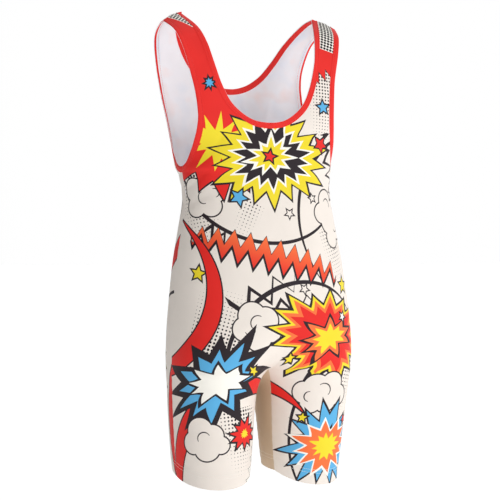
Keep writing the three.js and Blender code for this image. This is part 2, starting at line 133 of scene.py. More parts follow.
# How finely the cloth is divided: between rows, near an edge, and in points across
ROW_STEP = 4.0
NEAR_EDGE = (0.0, 1.2, 2.6, 5.0)
INNER_COLUMNS = 60
GUSSET_COLUMNS = 20
CURVE_SAMPLES = 160

# Half the gap between two sewn edges
HALF_GAP = 0.15

# The body row from which the flat cloth is measured from the side seam
HIP_ROW = 5

# Height over which its extra length round the crotch fades out
CROTCH_FADE = 70.0

# How much the two middle corners of a curve count halfway along it
CORNER_SHARE = 0.75


def smooth_value(before, start, end, after, t):
    """A cubic through listed values with slopes from their neighbours."""
    slope_start = (end - before) / 2
    slope_end = (after - start) / 2
    t2 = t * t
    t3 = t2 * t
    return (
        (2 * t3 - 3 * t2 + 1) * start
        + (t3 - 2 * t2 + t) * slope_start
        + (3 * t2 - 2 * t3) * end
        + (t3 - t2) * slope_end
    )


def flip_side(points):
    """The same points on the other side of the body."""
    return points * np.array([-1.0, 1.0, 1.0])


def row_corners(row, facing):
    """The four corner points of a row's curve; facing is -1 at the front."""
    start = np.array(row.outer, float)
    end = np.array(row.inner, float)
    third = (end[2] - start[2]) / 3
    sag = row.dip / CORNER_SHARE
    leave_lean, leave_pull = math.radians(row.leave[0]), row.leave[1]
    arrive_lean, arrive_pull = math.radians(row.arrive[0]), row.arrive[1]
    after_start = start + np.array(
        [-math.sin(leave_lean) * leave_pull, facing * math.cos(leave_lean) * leave_pull, third - sag]
    )
    before_end = end + np.array(
        [math.cos(arrive_lean) * arrive_pull, facing * math.sin(arrive_lean) * arrive_pull, -third - sag]
    )
    return np.array([start, after_start, before_end, end])


def panel_row(body_row, side):
    """A body row as a row of the front (0) or back (1) panel."""
    x, y, z, lean, pull, side_pull = (body_row.front, body_row.back)[side]
    return Row(body_row.side, (x, y, z), (0, side_pull), (lean, pull), body_row.dips[side])


class PanelLines:
    """The listed rows of a panel, and what lies between them."""

    def __init__(self, yoke, side, other_yoke):
        self.facing = (-1, 1)[side]
        rows = yoke + [panel_row(row, side) for row in BODY_ROWS]
        self.corners = np.array([row_corners(row, self.facing) for row in rows])
        self.last = len(rows) - 1
        self.seam_top = len(yoke)
        self.neck_row = next(i for i, row in enumerate(rows) if row.inner[0] == 0)
        self.fork = len(yoke) + CROTCH_ROW
        self.beyond_seam = np.array(other_yoke[-1].outer, float)

    def span(self, corner, at):
        """First and last listed row of the edge line that a corner belongs to."""
        if corner == 0:
            return (0, self.seam_top) if at < self.seam_top else (self.seam_top, self.last)
        if corner == 3 and at >= self.fork:
            return self.fork, self.last
        if corner == 3:
            return (0, self.neck_row) if at < self.neck_row else (self.neck_row, self.fork)
        return 0, self.last

    def corner_at(self, corner, at, t):
        """A corner of the row a fraction t of the way from listed row at to the next."""
        first, last = self.span(corner, at)
        line = self.corners[:, corner]
        before, start, end, after = (line[min(max(at + k, first), last)] for k in (-1, 0, 1, 2))
        if corner == 3 and at + 1 == self.neck_row:
            after = flip_side(start)
        if corner == 0 and at + 1 == self.seam_top:
            after = self.beyond_seam
        return smooth_value(before, start, end, after, t)

    def cross(self, at, t):
        """The four corners of the row a fraction t of the way from listed row at to the next."""
        return np.array([self.corner_at(corner, at, t) for corner in range(4)])

    def step_counts(self, first, last):
        """How many steps each stretch between two listed rows is divided into."""
        counts = []
        for at in range(first, last):
            runs = [np.linalg.norm(self.corners[at, c] - self.corners[at + 1, c]) for c in (0, 3)]
            counts.append(max(1, round(max(runs) / ROW_STEP)))
        return counts


def bezier_points(corners):
    """Many points along a cubic curve."""
    t = np.linspace(0, 1, CURVE_SAMPLES)[:, None]
    a, b, c, d = corners
    return (1 - t) ** 3 * a + 3 * (1 - t) ** 2 * t * b + 3 * (1 - t) * t**2 * c + t**3 * d


def run_along(line):
    """Length from the start of a line of points to each of them."""
    return np.concatenate([[0], np.cumsum(np.linalg.norm(np.diff(line, axis=0), axis=1))])


def values_at(places, run, values):
    """Three-part values at places between those where they are known."""
    return np.stack([np.interp(places, run, values[:, k]) for k in range(3)], axis=1)


def at_lengths(line, lengths):
    """Points at the given lengths along a line of points."""
    return values_at(lengths, run_along(line), line)


def line_length(line):
    """Length of a line of points."""
    return float(np.linalg.norm(np.diff(line, axis=0), axis=1).sum())


def across_lengths(length, inner_columns):
    """Lengths along a row, close together near its two edges."""
    near = np.array(NEAR_EDGE)
    middle = np.linspace(near[-1], length - near[-1], inner_columns + 2)[1:-1]
    return np.concatenate([near, middle, (length - near)[::-1]])


FRONT = PanelLines(FRONT_YOKE, 0, BACK_YOKE)
BACK = PanelLines(BACK_YOKE, 1, FRONT_YOKE)
BODY_COUNTS = FRONT.step_counts(FRONT.seam_top, FRONT.last)
FRONT_COUNTS = FRONT.step_counts(0, FRONT.seam_top) + BODY_COUNTS
BACK_COUNTS = BACK.step_counts(0, BACK.seam_top) + BODY_COUNTS


def half_grid(lines, counts):
    """Points of the left half of a panel, as rows by columns, and where the parts of it begin."""
    rows = []
    for at, count in enumerate(counts):
        steps = count + 1 if at == len(counts) - 1 else count
        for k in range(steps):
            line = bezier_points(lines.cross(at, k / count))
            rows.append(at_lengths(line, across_lengths(line_length(line), INNER_COLUMNS)))
    closed_from, seam_from, hip, fork = (
        sum(counts[:at]) for at in (lines.neck_row, lines.seam_top, lines.seam_top + HIP_ROW, lines.fork)
    )
    return np.array(rows), closed_from, seam_from, hip, fork


def runs_across(grid):
    """Length from the outer edge to each point along its row."""
    steps = np.linalg.norm(np.diff(grid, axis=1), axis=2)
    return np.concatenate([np.zeros((len(grid), 1)), np.cumsum(steps, axis=1)], axis=1)


def eased(share):
    """A share from 0 to 1 that starts and ends softly."""
    return share * share * (3 - 2 * share)


def flat_places(grid, closed_from, hip, fork):
    """Where each point of the half lies on the flat cloth: across from the centre, and up.
    Below the hip the cloth is measured from the side seam, and its extra length round the crotch
    fades out down the leg."""
    run = runs_across(grid)
    width = run[:, -1:].copy()
    width[:closed_from] += grid[:closed_from, -1:, 0]
    flat_width = width.copy()
    flat_width[hip:] = width[hip] + grid[hip:, :1, 0] - grid[hip, 0, 0]
    share = flat_width / width
    below = np.clip((grid[fork, 0, 2] - grid[:, :1, 2]) / CROTCH_FADE, 0, 1)
    share = share + (1 - share) * eased(below)
    across = flat_width - run * share
    third = grid[:, grid.shape[1] // 3]
    down = run_along(third)
    level = third[closed_from, 2] + down[closed_from] - down
    up = level[:, None] + grid[:, :, 2] - third[:, 2:]
    return np.stack([across, up], axis=2)


# A trough in the cloth. at: its middle; turn: degrees from level; bend: how far its ends rise;
# ridge: how strongly its two sides swell.
Crease = namedtuple("Crease", "panel at turn long wide deep bend ridge", defaults=(0, 0))

# The largest folds, as in the solids, placed by x and z
FOLDS = [
    Crease("front", (-104, -306), 24, 40, 15, 1.8),
    Crease("front", (106, -312), -20, 38, 15, 1.6),
    Crease("front", (-30, -604), 52, 26, 13, 1.8),
    Crease("front", (32, -600), -48, 26, 13, 1.6),
    Crease("back", (-64, -322), 12, 50, 17, 2.4),
    Crease("back", (60, -342), -10, 48, 16, 2.2),
    Crease("back", (-76, -640), 20, 40, 18, 1.4),
    Crease("back", (78, -644), -18, 40, 18, 1.3),
]

# Finer creases, placed on the flat cloth: across from the centre, and up
CREASES = [
    Crease("front", (-150, -318), 32, 34, 6, 1.4, 0.4, 0.5),
    Crease("front", (-138, -345), 22, 44, 7, 1.2, -0.5, 0.5),
    Crease("front", (152, -322), -30, 30, 6, 1.2, 0.4, 0.5),
    Crease("front", (142, -352), -17, 40, 8, 1.0, -0.4, 0.5),
    Crease("front", (-96, -232), 58, 30, 7, 1.0, 0.3, 0.4),
    Crease("front", (101, -240), -52, 32, 8, 0.9, 0.3, 0.4),
    Crease("front", (-18, -628), 63, 22, 4, 1.6, 0.5, 0.6),
    Crease("front", (-34, -640), 38, 26, 5, 1.4, 0.6, 0.6),
    Crease("front", (-44, -664), 14, 27, 5, 1.0, 0.5, 0.6),
    Crease("front", (20, -626), -60, 24, 4, 1.6, 0.5, 0.6),
    Crease("front", (37, -641), -36, 28, 5, 1.6, 0.6, 0.6),
    Crease("front", (49, -666), -12, 24, 5, 0.9, 0.5, 0.6),
    Crease("front", (-62, -712), 8, 32, 7, 0.9, 0.4, 0.5),
    Crease("front", (66, -726), -9, 30, 7, 0.9, 0.4, 0.5),
    Crease("front", (-146, -590), -14, 36, 9, 0.8, 0.3, 0.4),
    Crease("front", (150, -574), 12, 34, 9, 0.8, 0.3, 0.4),
    Crease("back", (-142, -300), -24, 36, 7, 1.4, 0.4, 0.5),
    Crease("back", (-120, -338), -12, 52, 8, 1.5, -0.4, 0.5),
    Crease("back", (-86, -366), -6, 46, 8, 1.2, 0.3, 0.5),
    Crease("back", (138, -306), 26, 34, 7, 1.2, 0.4, 0.5),
    Crease("back", (112, -352), 15, 50, 8, 1.5, -0.5, 0.5),
    Crease("back", (80, -382), 5, 44, 8, 1.0, 0.3, 0.5),
    Crease("back", (-70, -218), -64, 40, 10, 1.0, 0.2, 0.3),
    Crease("back", (76, -228), 60, 42, 10, 1.0, 0.2, 0.3),
    Crease("back", (-56, -192), 82, 34, 6, 1.5, 0.3, 0.5),
    Crease("back", (-22, -210), 96, 44, 7, 1.7, -0.3, 0.5),
    Crease("back", (12, -198), 86, 38, 6, 1.5, 0.2, 0.5),
    Crease("back", (40, -214), 98, 46, 7, 1.7, 0.3, 0.5),
    Crease("back", (72, -196), 80, 36, 7, 1.5, -0.3, 0.5),
    Crease("back", (-22, -618), 66, 26, 5, 1.4, 0.4, 0.6),
    Crease("back", (-42, -650), 30, 30, 6, 1.4, 0.6, 0.6),
    Crease("back", (25, -620), -62, 24, 5, 1.4, 0.4, 0.6),
    Crease("back", (46, -654), -27, 32, 6, 1.3, 0.6, 0.6),
    Crease("back", (-84, -690), 12, 40, 8, 0.9, 0.5, 0.5),
    Crease("back", (88, -700), -10, 38, 8, 0.9, 0.5, 0.5),
    Crease("gusset", (-3, 46), 80, 34, 4, 1.1, 0, 0.5),
    Crease("gusset", (6, 92), 86, 40, 4, 1.3, 0, 0.5),
    Crease("gusset", (-2, 138), 84, 36, 5, 1.0, 0, 0.5),
    Crease("gusset", (4, -60), 98, 36, 4, 1.3, 0, 0.5),
    Crease("gusset", (-5, -112), 92, 44, 5, 1.1, 0, 0.5),
]

# How far a panel's fork stays above the gusset
FORK_GAP = 1.1

# Sewn seams: how deep and wide they sink, and the uneven puckers beside them
SEAM_SINK = 0.5
SEAM_WIDTH = 1.8
PUCKER_DEPTH = 0.22
PUCKER_PITCH = 17.0
PUCKER_REACH = 13.0
PUCKER_DRIFT = 1.7
PUCKER_DRIFT_PITCH = 41.0


def trough_depth(panel, places, creases):
    """How far the creases of a panel push its points inwards, in millimetres."""
    depth = np.zeros(places.shape[:-1])
    for crease in creases:
        if crease.panel != panel:
            continue
        turn = math.radians(crease.turn)
        dx = places[..., 0] - crease.at[0]
        dz = places[..., 1] - crease.at[1]
        along = (dx * math.cos(turn) + dz * math.sin(turn)) / crease.long
        across = (dz * math.cos(turn) - dx * math.sin(turn)) / crease.wide - crease.bend * along**2
        depth += crease.deep * np.exp(-(along**2) - across**2) * (1 - crease.ridge * across**2)
    return depth


def seam_depth(distance, along):
    """Soft sink at a sewn seam, with small uneven puckers beside it."""
    drift = PUCKER_DRIFT * np.sin(along / PUCKER_DRIFT_PITCH)
    wave = np.sin(2 * math.pi * along / PUCKER_PITCH + drift)
    puckers = PUCKER_DEPTH * wave * np.exp(-distance / PUCKER_REACH)
    return SEAM_SINK * np.exp(-((distance / SEAM_WIDTH) ** 2)) + puckers


class Cloth:
    """A piece of cloth as points where it would meet its neighbours, its own cut points, its faces
    and the places of its points on the flat cloth."""

    def __init__(self, met, cut, faces, flat):
        self.met = met
        self.cut = cut
        self.faces = faces
        self.flat = flat
        self.normals = None


# Directions shorter than this have no length to divide by
TINY = 1e-12

# Points that agree to this many decimals of a millimetre meet
MEET_DECIMALS = 2


def unit(vectors):
    """The same directions with length one."""
    return vectors / np.maximum(np.linalg.norm(vectors, axis=-1, keepdims=True), TINY)


def quads(index):
    """Four-cornered faces between neighbouring rows and columns of point numbers."""
    a, b, c, d = index[:-1, :-1], index[1:, :-1], index[1:, 1:], index[:-1, 1:]
    return np.stack([a, b, c, d], axis=-1).reshape(-1, 4)


def pulled_back(grid, outer_from, inner_from, first, fork=None):
    """The grid with its sewn edges moved back by half a seam gap."""
    moved = grid.copy()
    moved[outer_from:, 0] += unit(grid[outer_from:, 1] - grid[outer_from:, 0]) * HALF_GAP
    moved[inner_from:, -1] += unit(grid[inner_from:, -2] - grid[inner_from:, -1]) * HALF_GAP
    if first:
        moved[0] += unit(grid[1] - grid[0]) * HALF_GAP
    if fork is not None:
        moved[fork, -1] += unit(grid[fork - 1, -1] - grid[fork, -1]) * FORK_GAP
    return moved


def both_sides(half):
    """Points of the left half and then of the right half, as one list."""
    return np.concatenate([half.reshape(-1, 3), flip_side(half).reshape(-1, 3)])


class Panel:
    """Front or back panel: its left half as a grid, and its whole cloth."""

    def __init__(self, name, lines, counts):
        self.name = name
        self.grid, self.closed_from, self.seam_from, hip, self.fork = half_grid(lines, counts)
        self.flat = flat_places(self.grid, self.closed_from, hip, self.fork)
        rows, columns = self.grid.shape[:2]
        cut = pulled_back(self.grid, self.seam_from, self.fork + 1, True, self.fork)
        left = np.arange(rows * columns).reshape(rows, columns)
        right = left + rows * columns
        right[self.closed_from : self.fork + 1, -1] = left[self.closed_from : self.fork + 1, -1]
        faces = np.concatenate([quads(left), quads(right)[:, ::-1]])
        if lines.facing < 0:
            faces = faces[:, ::-1]
        mirrored_flat = self.flat * np.array([-1.0, 1.0])
        flat = np.concatenate([self.flat.reshape(-1, 2), mirrored_flat.reshape(-1, 2)])
        self.cloth = Cloth(both_sides(self.grid), both_sides(cut), faces, flat)

    def depth(self):
        """How far each point lies under the smooth form: folds, creases and seams."""
        met = self.cloth.met
        depth = trough_depth(self.name, met[:, [0, 2]], FOLDS)
        depth += trough_depth(self.name, self.cloth.flat, CREASES)
        run = runs_across(self.grid)
        from_shoulder = runs_across(self.grid.swapaxes(0, 1)).T
        level = -self.grid[:, :, 2]
        seams = np.zeros(run.shape)
        seams[self.seam_from :] += seam_depth(run, level[:, :1])[self.seam_from :]
        inner = seam_depth(run[:, -1:] - run, level[:, -1:])
        seams[self.fork + 1 :] += inner[self.fork + 1 :]
        seams += seam_depth(from_shoulder, run)
        return depth + np.concatenate([seams.reshape(-1), seams.reshape(-1)])


# The gusset's innermost line at each body row
KEELS = [None if row.keel is None else np.array([row.keel[0], 0.0, row.keel[1]]) for row in BODY_ROWS]


def keel_point(at, t):
    """Innermost line of the gusset; it crosses from leg to leg without a kink."""
    before = flip_side(KEELS[at + 1]) if at == CROTCH_ROW else KEELS[at - 1]
    after = KEELS[min(at + 2, len(KEELS) - 1)]
    return smooth_value(before, KEELS[at], KEELS[at + 1], after, t)


def gusset_row(at, t):
    """Points across the gusset, from the front seam over the keel to the back seam."""
    front = FRONT.corner_at(3, FRONT.seam_top + at, t)
    back = BACK.corner_at(3, BACK.seam_top + at, t)
    bow = (keel_point(at, t) - (front + back) / 2) / CORNER_SHARE
    bow[1] = 0
    third = (back - front) / 3
    line = bezier_points(np.array([front, front + third + bow, back - third + bow, back]))
    return at_lengths(line, across_lengths(line_length(line), GUSSET_COLUMNS))


class Gusset:
    """One strip of rows from the left hem over the crotch to the right hem."""

    def __init__(self):
        down = []
        for at in range(CROTCH_ROW, len(BODY_ROWS) - 1):
            down += [gusset_row(at, k / BODY_COUNTS[at]) for k in range(BODY_COUNTS[at])]
        down.append(gusset_row(len(BODY_ROWS) - 2, 1.0))
        self.down = np.array(down)
        arch = np.concatenate([self.down[::-1], flip_side(self.down[1:])])
        rows, columns = arch.shape[:2]
        self.index = np.arange(rows * columns).reshape(rows, columns)
        along = run_along(arch[:, columns // 2])
        along -= along[len(self.down) - 1]
        run = runs_across(arch)
        self.edge_run = np.minimum(run, run[:, -1:] - run)
        flat = np.stack([run - run[:, -1:] / 2, np.repeat(along[:, None], columns, axis=1)], axis=2)
        cut = pulled_back(arch, 0, 0, False)
        self.level = -arch[:, :1, 2], -arch[:, -1:, 2]
        self.arch = arch
        met, cut, flat = arch.reshape(-1, 3), cut.reshape(-1, 3), flat.reshape(-1, 2)
        self.cloth = Cloth(met, cut, quads(self.index), flat)

    def depth(self):
        """How far each point lies under the smooth form: creases and the two seams."""
        rows, columns = self.index.shape
        half = columns // 2
        seams = np.zeros((rows, columns))
        seams[:, :half] = seam_depth(self.edge_run[:, :half], self.level[0])
        seams[:, half:] = seam_depth(self.edge_run[:, half:], self.level[1])
        return trough_depth("gusset", self.cloth.flat, CREASES) + seams.reshape(-1)


def share_normals(cloths):
    """Outward directions of several cloths; points where they meet share one."""
    met = np.concatenate([cloth.met for cloth in cloths])
    starts = np.cumsum([0] + [len(cloth.met) for cloth in cloths])
    faces = np.concatenate([cloth.faces + start for cloth, start in zip(cloths, starts)])
    _, place = np.unique(np.round(met, MEET_DECIMALS) + 0.0, axis=0, return_inverse=True)
    place = place.reshape(-1)
    corners = met[faces]
    direction = np.cross(corners[:, 2] - corners[:, 0], corners[:, 3] - corners[:, 1])
    total = np.zeros((place.max() + 1, 3))
    for corner in range(4):
        np.add.at(total, place[faces[:, corner]], direction)
    normals = unit(total)[place]
    for cloth, start, end in zip(cloths, starts, starts[1:]):
        cloth.normals = normals[start:end]


front = Panel("front", FRONT, FRONT_COUNTS)
back = Panel("back", BACK, BACK_COUNTS)
gusset = Gusset()
share_normals([front.cloth, back.cloth, gusset.cloth])


def creased(piece):
    """Points of a piece of cloth, pushed in by its folds, creases and seams."""
    return piece.cloth.cut - piece.cloth.normals * piece.depth()[:, None]


def left_half(piece, values):
    """Values at the points of a piece, for its left half, as rows by columns."""
    rows, columns = piece.grid.shape[:2]
    return values[: rows * columns].reshape(rows, columns, -1)


# The lowest rows of the leg, which reach somewhat higher than its hem
HEM_ROWS = sum(BODY_COUNTS[-2:]) + 1


class LegEnd:
    """The lowest stretch of the left leg as one ring of columns: front, gusset, back."""

    def __init__(self):
        gusset_normals = gusset.cloth.normals.reshape(gusset.arch.shape)[: len(gusset.down)][::-1]
        front_skin, back_skin = (left_half(piece, creased(piece)) for piece in (front, back))
        gusset_skin = creased(gusset).reshape(gusset.arch.shape)[: len(gusset.down)][::-1]
        front_up, back_up = (left_half(piece, piece.cloth.normals) for piece in (front, back))
        self.skin = self.joined(front_skin, gusset_skin, back_skin)
        self.up = self.joined(front_up, gusset_normals, back_up)
        gusset_flat = gusset.cloth.flat.reshape(*gusset.index.shape, 2)[: len(gusset.down)][::-1]
        self.flat = self.joined(front.flat, gusset_flat, back.flat)
        step = np.linalg.norm(np.diff(self.skin, axis=0), axis=2)
        above = np.cumsum(step[::-1], axis=0)[::-1]
        self.above = np.concatenate([above, np.zeros((1, above.shape[1]))])
        self.front_columns = front.grid.shape[1] - 1
        self.gusset_columns = gusset_skin.shape[1] - 1

    @staticmethod
    def joined(front_part, gusset_part, back_part):
        """One array of the last rows of the three pieces, round the leg."""
        parts = [front_part[-HEM_ROWS:], gusset_part[-HEM_ROWS:, 1:-1], back_part[-HEM_ROWS:, ::-1]]
        return np.concatenate(parts, axis=1)[:, :-1]

    def sampled(self, values, above):
        """Values round the leg, at a length above its cut edge."""
        columns = range(values.shape[1])
        heights = self.above[::-1]
        return np.concatenate(
            [values_at([above], heights[:, column], values[::-1, column]) for column in columns]
        )

    def ring(self, above, inward):
        """Points round the leg, a length above its cut edge and a distance inwards."""
        points = self.sampled(self.skin, above) - inward * self.sampled(self.up, above)
        if above < 0:
            points += unit(self.skin[-1] - self.skin[-2]) * -above
        return points

    def turned_places(self, lengths):
        """Flat places of the turned-in cloth, whose print carries on past the leg's edge."""
        edge = np.concatenate([self.flat[-1], back.flat[-1, :1]])
        return edge[:, None] - np.array([(0, length) for length in lengths])

    def cloths(self):
        """The cloth of each stretch round the leg: 0 front, 1 gusset, 2 back."""
        stretch = np.arange(self.skin.shape[1])
        past_gusset = self.front_columns + self.gusset_columns
        return np.where(stretch < self.front_columns, 0, np.where(stretch < past_gusset, 1, 2))

    def directions(self, above):
        """Outward directions round the leg at a length above its cut edge."""
        return unit(self.sampled(self.up, above))


def closed_line(points):
    """A line of points that ends where it began."""
    return np.concatenate([points, points[:1]])


class Strip:
    """A line of stations along panel edges: where it lies, the cloth's outward direction there,
    and the direction across, away from the panel."""

    def __init__(self, at, up, closed):
        self.at = at
        self.up = up
        self.closed = closed
        if closed:
            tangent = np.roll(at, -1, axis=0) - np.roll(at, 1, axis=0)
        else:
            tangent = np.gradient(at, axis=0)
        self.across = unit(np.cross(up, tangent))

    def length(self):
        """Length of the line."""
        return line_length(closed_line(self.at) if self.closed else self.at)

    def part(self, first, last):
        """An open stretch of a closed strip, with half a seam gap at both ends."""
        piece = Strip(self.at[first:last].copy(), self.up[first:last], False)
        piece.across = self.across[first:last]
        piece.at[0] += unit(piece.at[1] - piece.at[0]) * HALF_GAP
        piece.at[-1] += unit(piece.at[-2] - piece.at[-1]) * HALF_GAP
        return piece

    def line(self, beside, above):
        """Points at a distance beside and above the panel's edge."""
        return self.at + self.across * beside + self.up * above


def armhole_strip():
    """Stations round the left armhole, down the front and up the back."""
    up_front = left_half(front, front.cloth.normals)
    up_back = left_half(back, back.cloth.normals)
    down = slice(0, front.seam_from + 1)
    rise = slice(back.seam_from - 1, 0, -1)
    at = np.concatenate([front.grid[down, 0], back.grid[rise, 0]])
    up = np.concatenate([up_front[down, 0], up_back[rise, 0]])
    return Strip(at, up, True)


def round_neck(values_back, values_front):
    """Values round the neckline: over the back to the right shoulder, and over the front again."""
    left_back = values_back[: back.closed_from + 1, -1]
    left_front = values_front[: front.closed_from + 1, -1]
    right_back = flip_side(left_back[-2::-1])
    right_front = flip_side(left_front[1:])
    return np.concatenate([left_back, right_back, right_front, left_front[-2:0:-1]])


def neck_strips():
    """Stations of the back and front lengths round the neckline."""
    up_front, up_back = (left_half(piece, piece.cloth.normals) for piece in (front, back))
    whole = Strip(round_neck(back.grid, front.grid), round_neck(up_back, up_front), True)
    back_count = 2 * back.closed_from + 1
    whole.at, whole.up, whole.across = (closed_line(part) for part in (whole.at, whole.up, whole.across))
    return whole.part(0, back_count), whole.part(back_count - 1, len(whole.at))


# Edges sharper than this many degrees stay sharp
SHARP_EDGE = 50


def deselect_all():
    """Nothing is selected before the next operator runs."""
    for item in bpy.context.selected_objects:
        item.select_set(False)


def make_active(item):
    """Only this object is selected and active."""
    deselect_all()
    item.select_set(True)
    bpy.context.view_layer.objects.active = item


def mesh_object(name, points, faces, corner_places, materials, face_materials=None):
    """A mesh from points in millimetres, with one UV map in metres. corner_places holds the flat
    place of each face's corners."""
    mesh = bpy.data.meshes.new(name)
    mesh.from_pydata((points * MM).tolist(), [], faces.tolist())
    layer = mesh.uv_layers.new(name="flat_cloth")
    layer.data.foreach_set("uv", (corner_places * MM).astype(np.float32).reshape(-1))
    for material in materials:
        mesh.materials.append(material)
    if face_materials is not None:
        mesh.polygons.foreach_set("material_index", face_materials.astype(np.int32))
    mesh.update()
    item = bpy.data.objects.new(name, mesh)
    bpy.context.scene.collection.objects.link(item)
    return item


def give_thickness(item, thickness, inner_offset=0):
    """Turns a sheet into a thin closed wall about its own middle. The wrong side's material comes
    inner_offset places after the right side's."""
    make_active(item)
    bpy.ops.object.modifier_add(type="SOLIDIFY")
    wall = item.modifiers[-1]
    wall.thickness = thickness
    wall.offset = 0
    wall.use_even_offset = False
    wall.material_offset = inner_offset
    wall.material_offset_rim = inner_offset
    bpy.ops.object.modifier_apply(modifier=wall.name)
    bpy.ops.object.shade_smooth_by_angle(angle=math.radians(SHARP_EDGE))


def settle(item, slot, *nodes):
    """The piece rides on the one body and stands for its nodes, which it hides; slot is not used."""
    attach(item, "root")
    if nodes:
        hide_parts(*nodes)


def cloth_object(name, piece, materials):
    """The sheet of a panel or of the gusset, with its creases, before it has thickness."""
    faces = piece.cloth.faces
    return mesh_object(name, creased(piece), faces, piece.cloth.flat[faces], materials)


def grid_object(name, grid, places, materials, wraps, which, flip=False):
    """A sheet from rows of points. With wraps its last row meets the first; places then holds one
    row more than grid. which tells the material of each face, by row, by column or both."""
    rows, columns = grid.shape[:2]
    flat_index = np.arange((rows + wraps) * columns).reshape(rows + wraps, columns)
    corners = quads(flat_index)
    if flip:
        corners = corners[:, ::-1]
    faces = corners % (rows * columns)
    face_materials = np.broadcast_to(which, (rows - 1 + wraps, columns - 1)).reshape(-1)
    return mesh_object(
        name, grid.reshape(-1, 3), faces, places.reshape(-1, 2)[corners], materials, face_materials
    )


# The binding's folded section, as distances beside and above the panel's edge. It sinks where the
# stitches hold it down.
BINDING_SECTION = [
    (-0.9, 0.84),
    (0.6, 1.0),
    (1.4, 0.86),
    (1.9, 0.66),
    (2.4, 0.86),
    (3.4, 1.03),
    (6.0, 1.05),
    (8.4, 0.98),
    (9.3, 0.72),
    (9.68, 0.3),
    (9.72, -0.1),
    (9.5, -0.55),
    (8.4, -0.95),
    (6.0, -1.02),
    (3.4, -1.0),
    (1.9, -0.72),
    (0.6, -0.98),
    (-0.9, -0.84),
]

# Face by face round the binding's section: RED faces take the red cloth, LIGHT faces the pale wrong-side
# cloth
RED, LIGHT = 0, 1
# LIGHT makes a pale line along the fold's outer edge, and on the armholes a pale inner face beside the panel
NECK_COLOURS = [RED] * 8 + [LIGHT] * 3 + [RED] * 6
ARMHOLE_COLOURS = [RED] * 9 + [LIGHT] * 2 + [RED] * 2 + [LIGHT] * 4

# How uneven the binding's fold is, and the lengths of the waves in it
BINDING_RIPPLE = 0.1
RIPPLE_LENGTH = 5.2
RIPPLE_DRIFT = 1.3
RIPPLE_DRIFT_LENGTH = 17.0
RIPPLE_SWELL_LENGTH = 23.0


def binding_object(name, strip, thickness, materials, which, flip):
    """A folded strip wrapped over a panel's edge."""
    along = run_along(strip.at)
    drift = RIPPLE_DRIFT * np.sin(along / RIPPLE_DRIFT_LENGTH)
    wave = np.sin(along / RIPPLE_LENGTH + drift) * np.sin(along / RIPPLE_SWELL_LENGTH)
    ripple = 1 + BINDING_RIPPLE * wave[:, None]
    grid = np.stack([strip.line(beside, above * ripple) for beside, above in BINDING_SECTION], axis=1)
    round_section = run_along(np.array(BINDING_SECTION))
    if strip.closed:
        along = np.concatenate([along, [strip.length()]])
    places = np.stack(np.meshgrid(round_section, along), axis=2)
    if flip:
        grid = flip_side(grid)
    item = grid_object(name, grid, places, materials, strip.closed, which, flip)
    give_thickness(item, thickness)
    return item


# Hem: the turned-in end of the leg, as lengths above the cut edge and distances inwards
HEM_SECTION = [
    (0.55, -0.2),
    (0.1, -0.15),
    (-0.15, 0.3),
    (-0.05, 0.85),
    (0.5, 1.25),
    (2.5, 1.4),
    (8.0, 1.42),
    (15.0, 1.42),
    (19.4, 1.3),
    (20.4, 1.38),
    (23.0, 1.42),
    (26.0, 1.3),
]

# Rows of stitches: above the hem's cut edge, and beside and above the panel's edge on a binding
HEM_STITCH_LINES = (20.0, 26.0)
BINDING_STITCH_LINE = (1.9, 1.0)
THREAD_LIFT = 0.05

# One stitch as rings along it, each with its place and size as shares of length and width
STITCH_STATIONS = ((-0.5, 0.45), (-0.32, 0.95), (0.32, 0.95), (0.5, 0.45))
STITCH_SIDES = 4


def stitch_points(line, up, length, pitch, closed):
    """Middle, direction and outward direction of each stitch along a line of points."""
    if closed:
        line, up = closed_line(line), closed_line(up)
    run = run_along(line)
    count = int(run[-1] / pitch)
    middles = (np.arange(count) + 0.5) * run[-1] / count
    start = values_at(middles - length / 2, run, line)
    end = values_at(middles + length / 2, run, line)
    return (start + end) / 2, unit(end - start), unit(values_at(middles, run, up))


def flipped(lines):
    """Lines of points, each with its outward directions, on the other side of the body."""
    return [(flip_side(line), flip_side(up)) for line, up in lines]


def stitches_object(name, lines, material, closed):
    """Thread along lines of points, as one joined mesh of small rounded bars."""
    length, pitch, width = (
        value / MM for value in (sizes().stitch_length, sizes().stitch_pitch, sizes().thread_width)
    )
    points, faces = [], []
    for line, up in lines:
        for middle, ahead, out in zip(*stitch_points(line, up, length, pitch, closed)):
            beside = np.cross(ahead, out)
            first = len(points)
            for place, size in STITCH_STATIONS:
                at = middle + ahead * place * length
                half = width / 2 * size
                points += [at + beside * half, at + out * half, at - beside * half, at - out * half]
            for ring in range(first, len(points) - STITCH_SIDES, STITCH_SIDES):
                for k in range(STITCH_SIDES):
                    a, b = ring + k, ring + (k + 1) % STITCH_SIDES
                    faces.append((a, b, b + STITCH_SIDES, a + STITCH_SIDES))
            faces.append(tuple(first + k for k in reversed(range(STITCH_SIDES))))
            faces.append(tuple(len(points) - STITCH_SIDES + k for k in range(STITCH_SIDES)))
    points, faces = np.array(points), np.array(faces)
    item = mesh_object(name, points, faces, points[faces][:, :, [0, 2]], [material])
    make_active(item)
    bpy.ops.object.shade_smooth()
    return item


def linear(red, green, blue):
    """A colour as printed in a picture, from 0 to 255, as the light it stands for."""

    def one(value):
        share = value / 255
        return share / 12.92 if share <= 0.04045 else ((share + 0.055) / 1.055) ** 2.4

    return (one(red), one(green), one(blue))


def colour_property(name, description, default):
    """A colour that a user may change."""
    return bpy.props.FloatVectorProperty(
        name=name, description=description, subtype="COLOR", min=0, max=1, default=default
    )


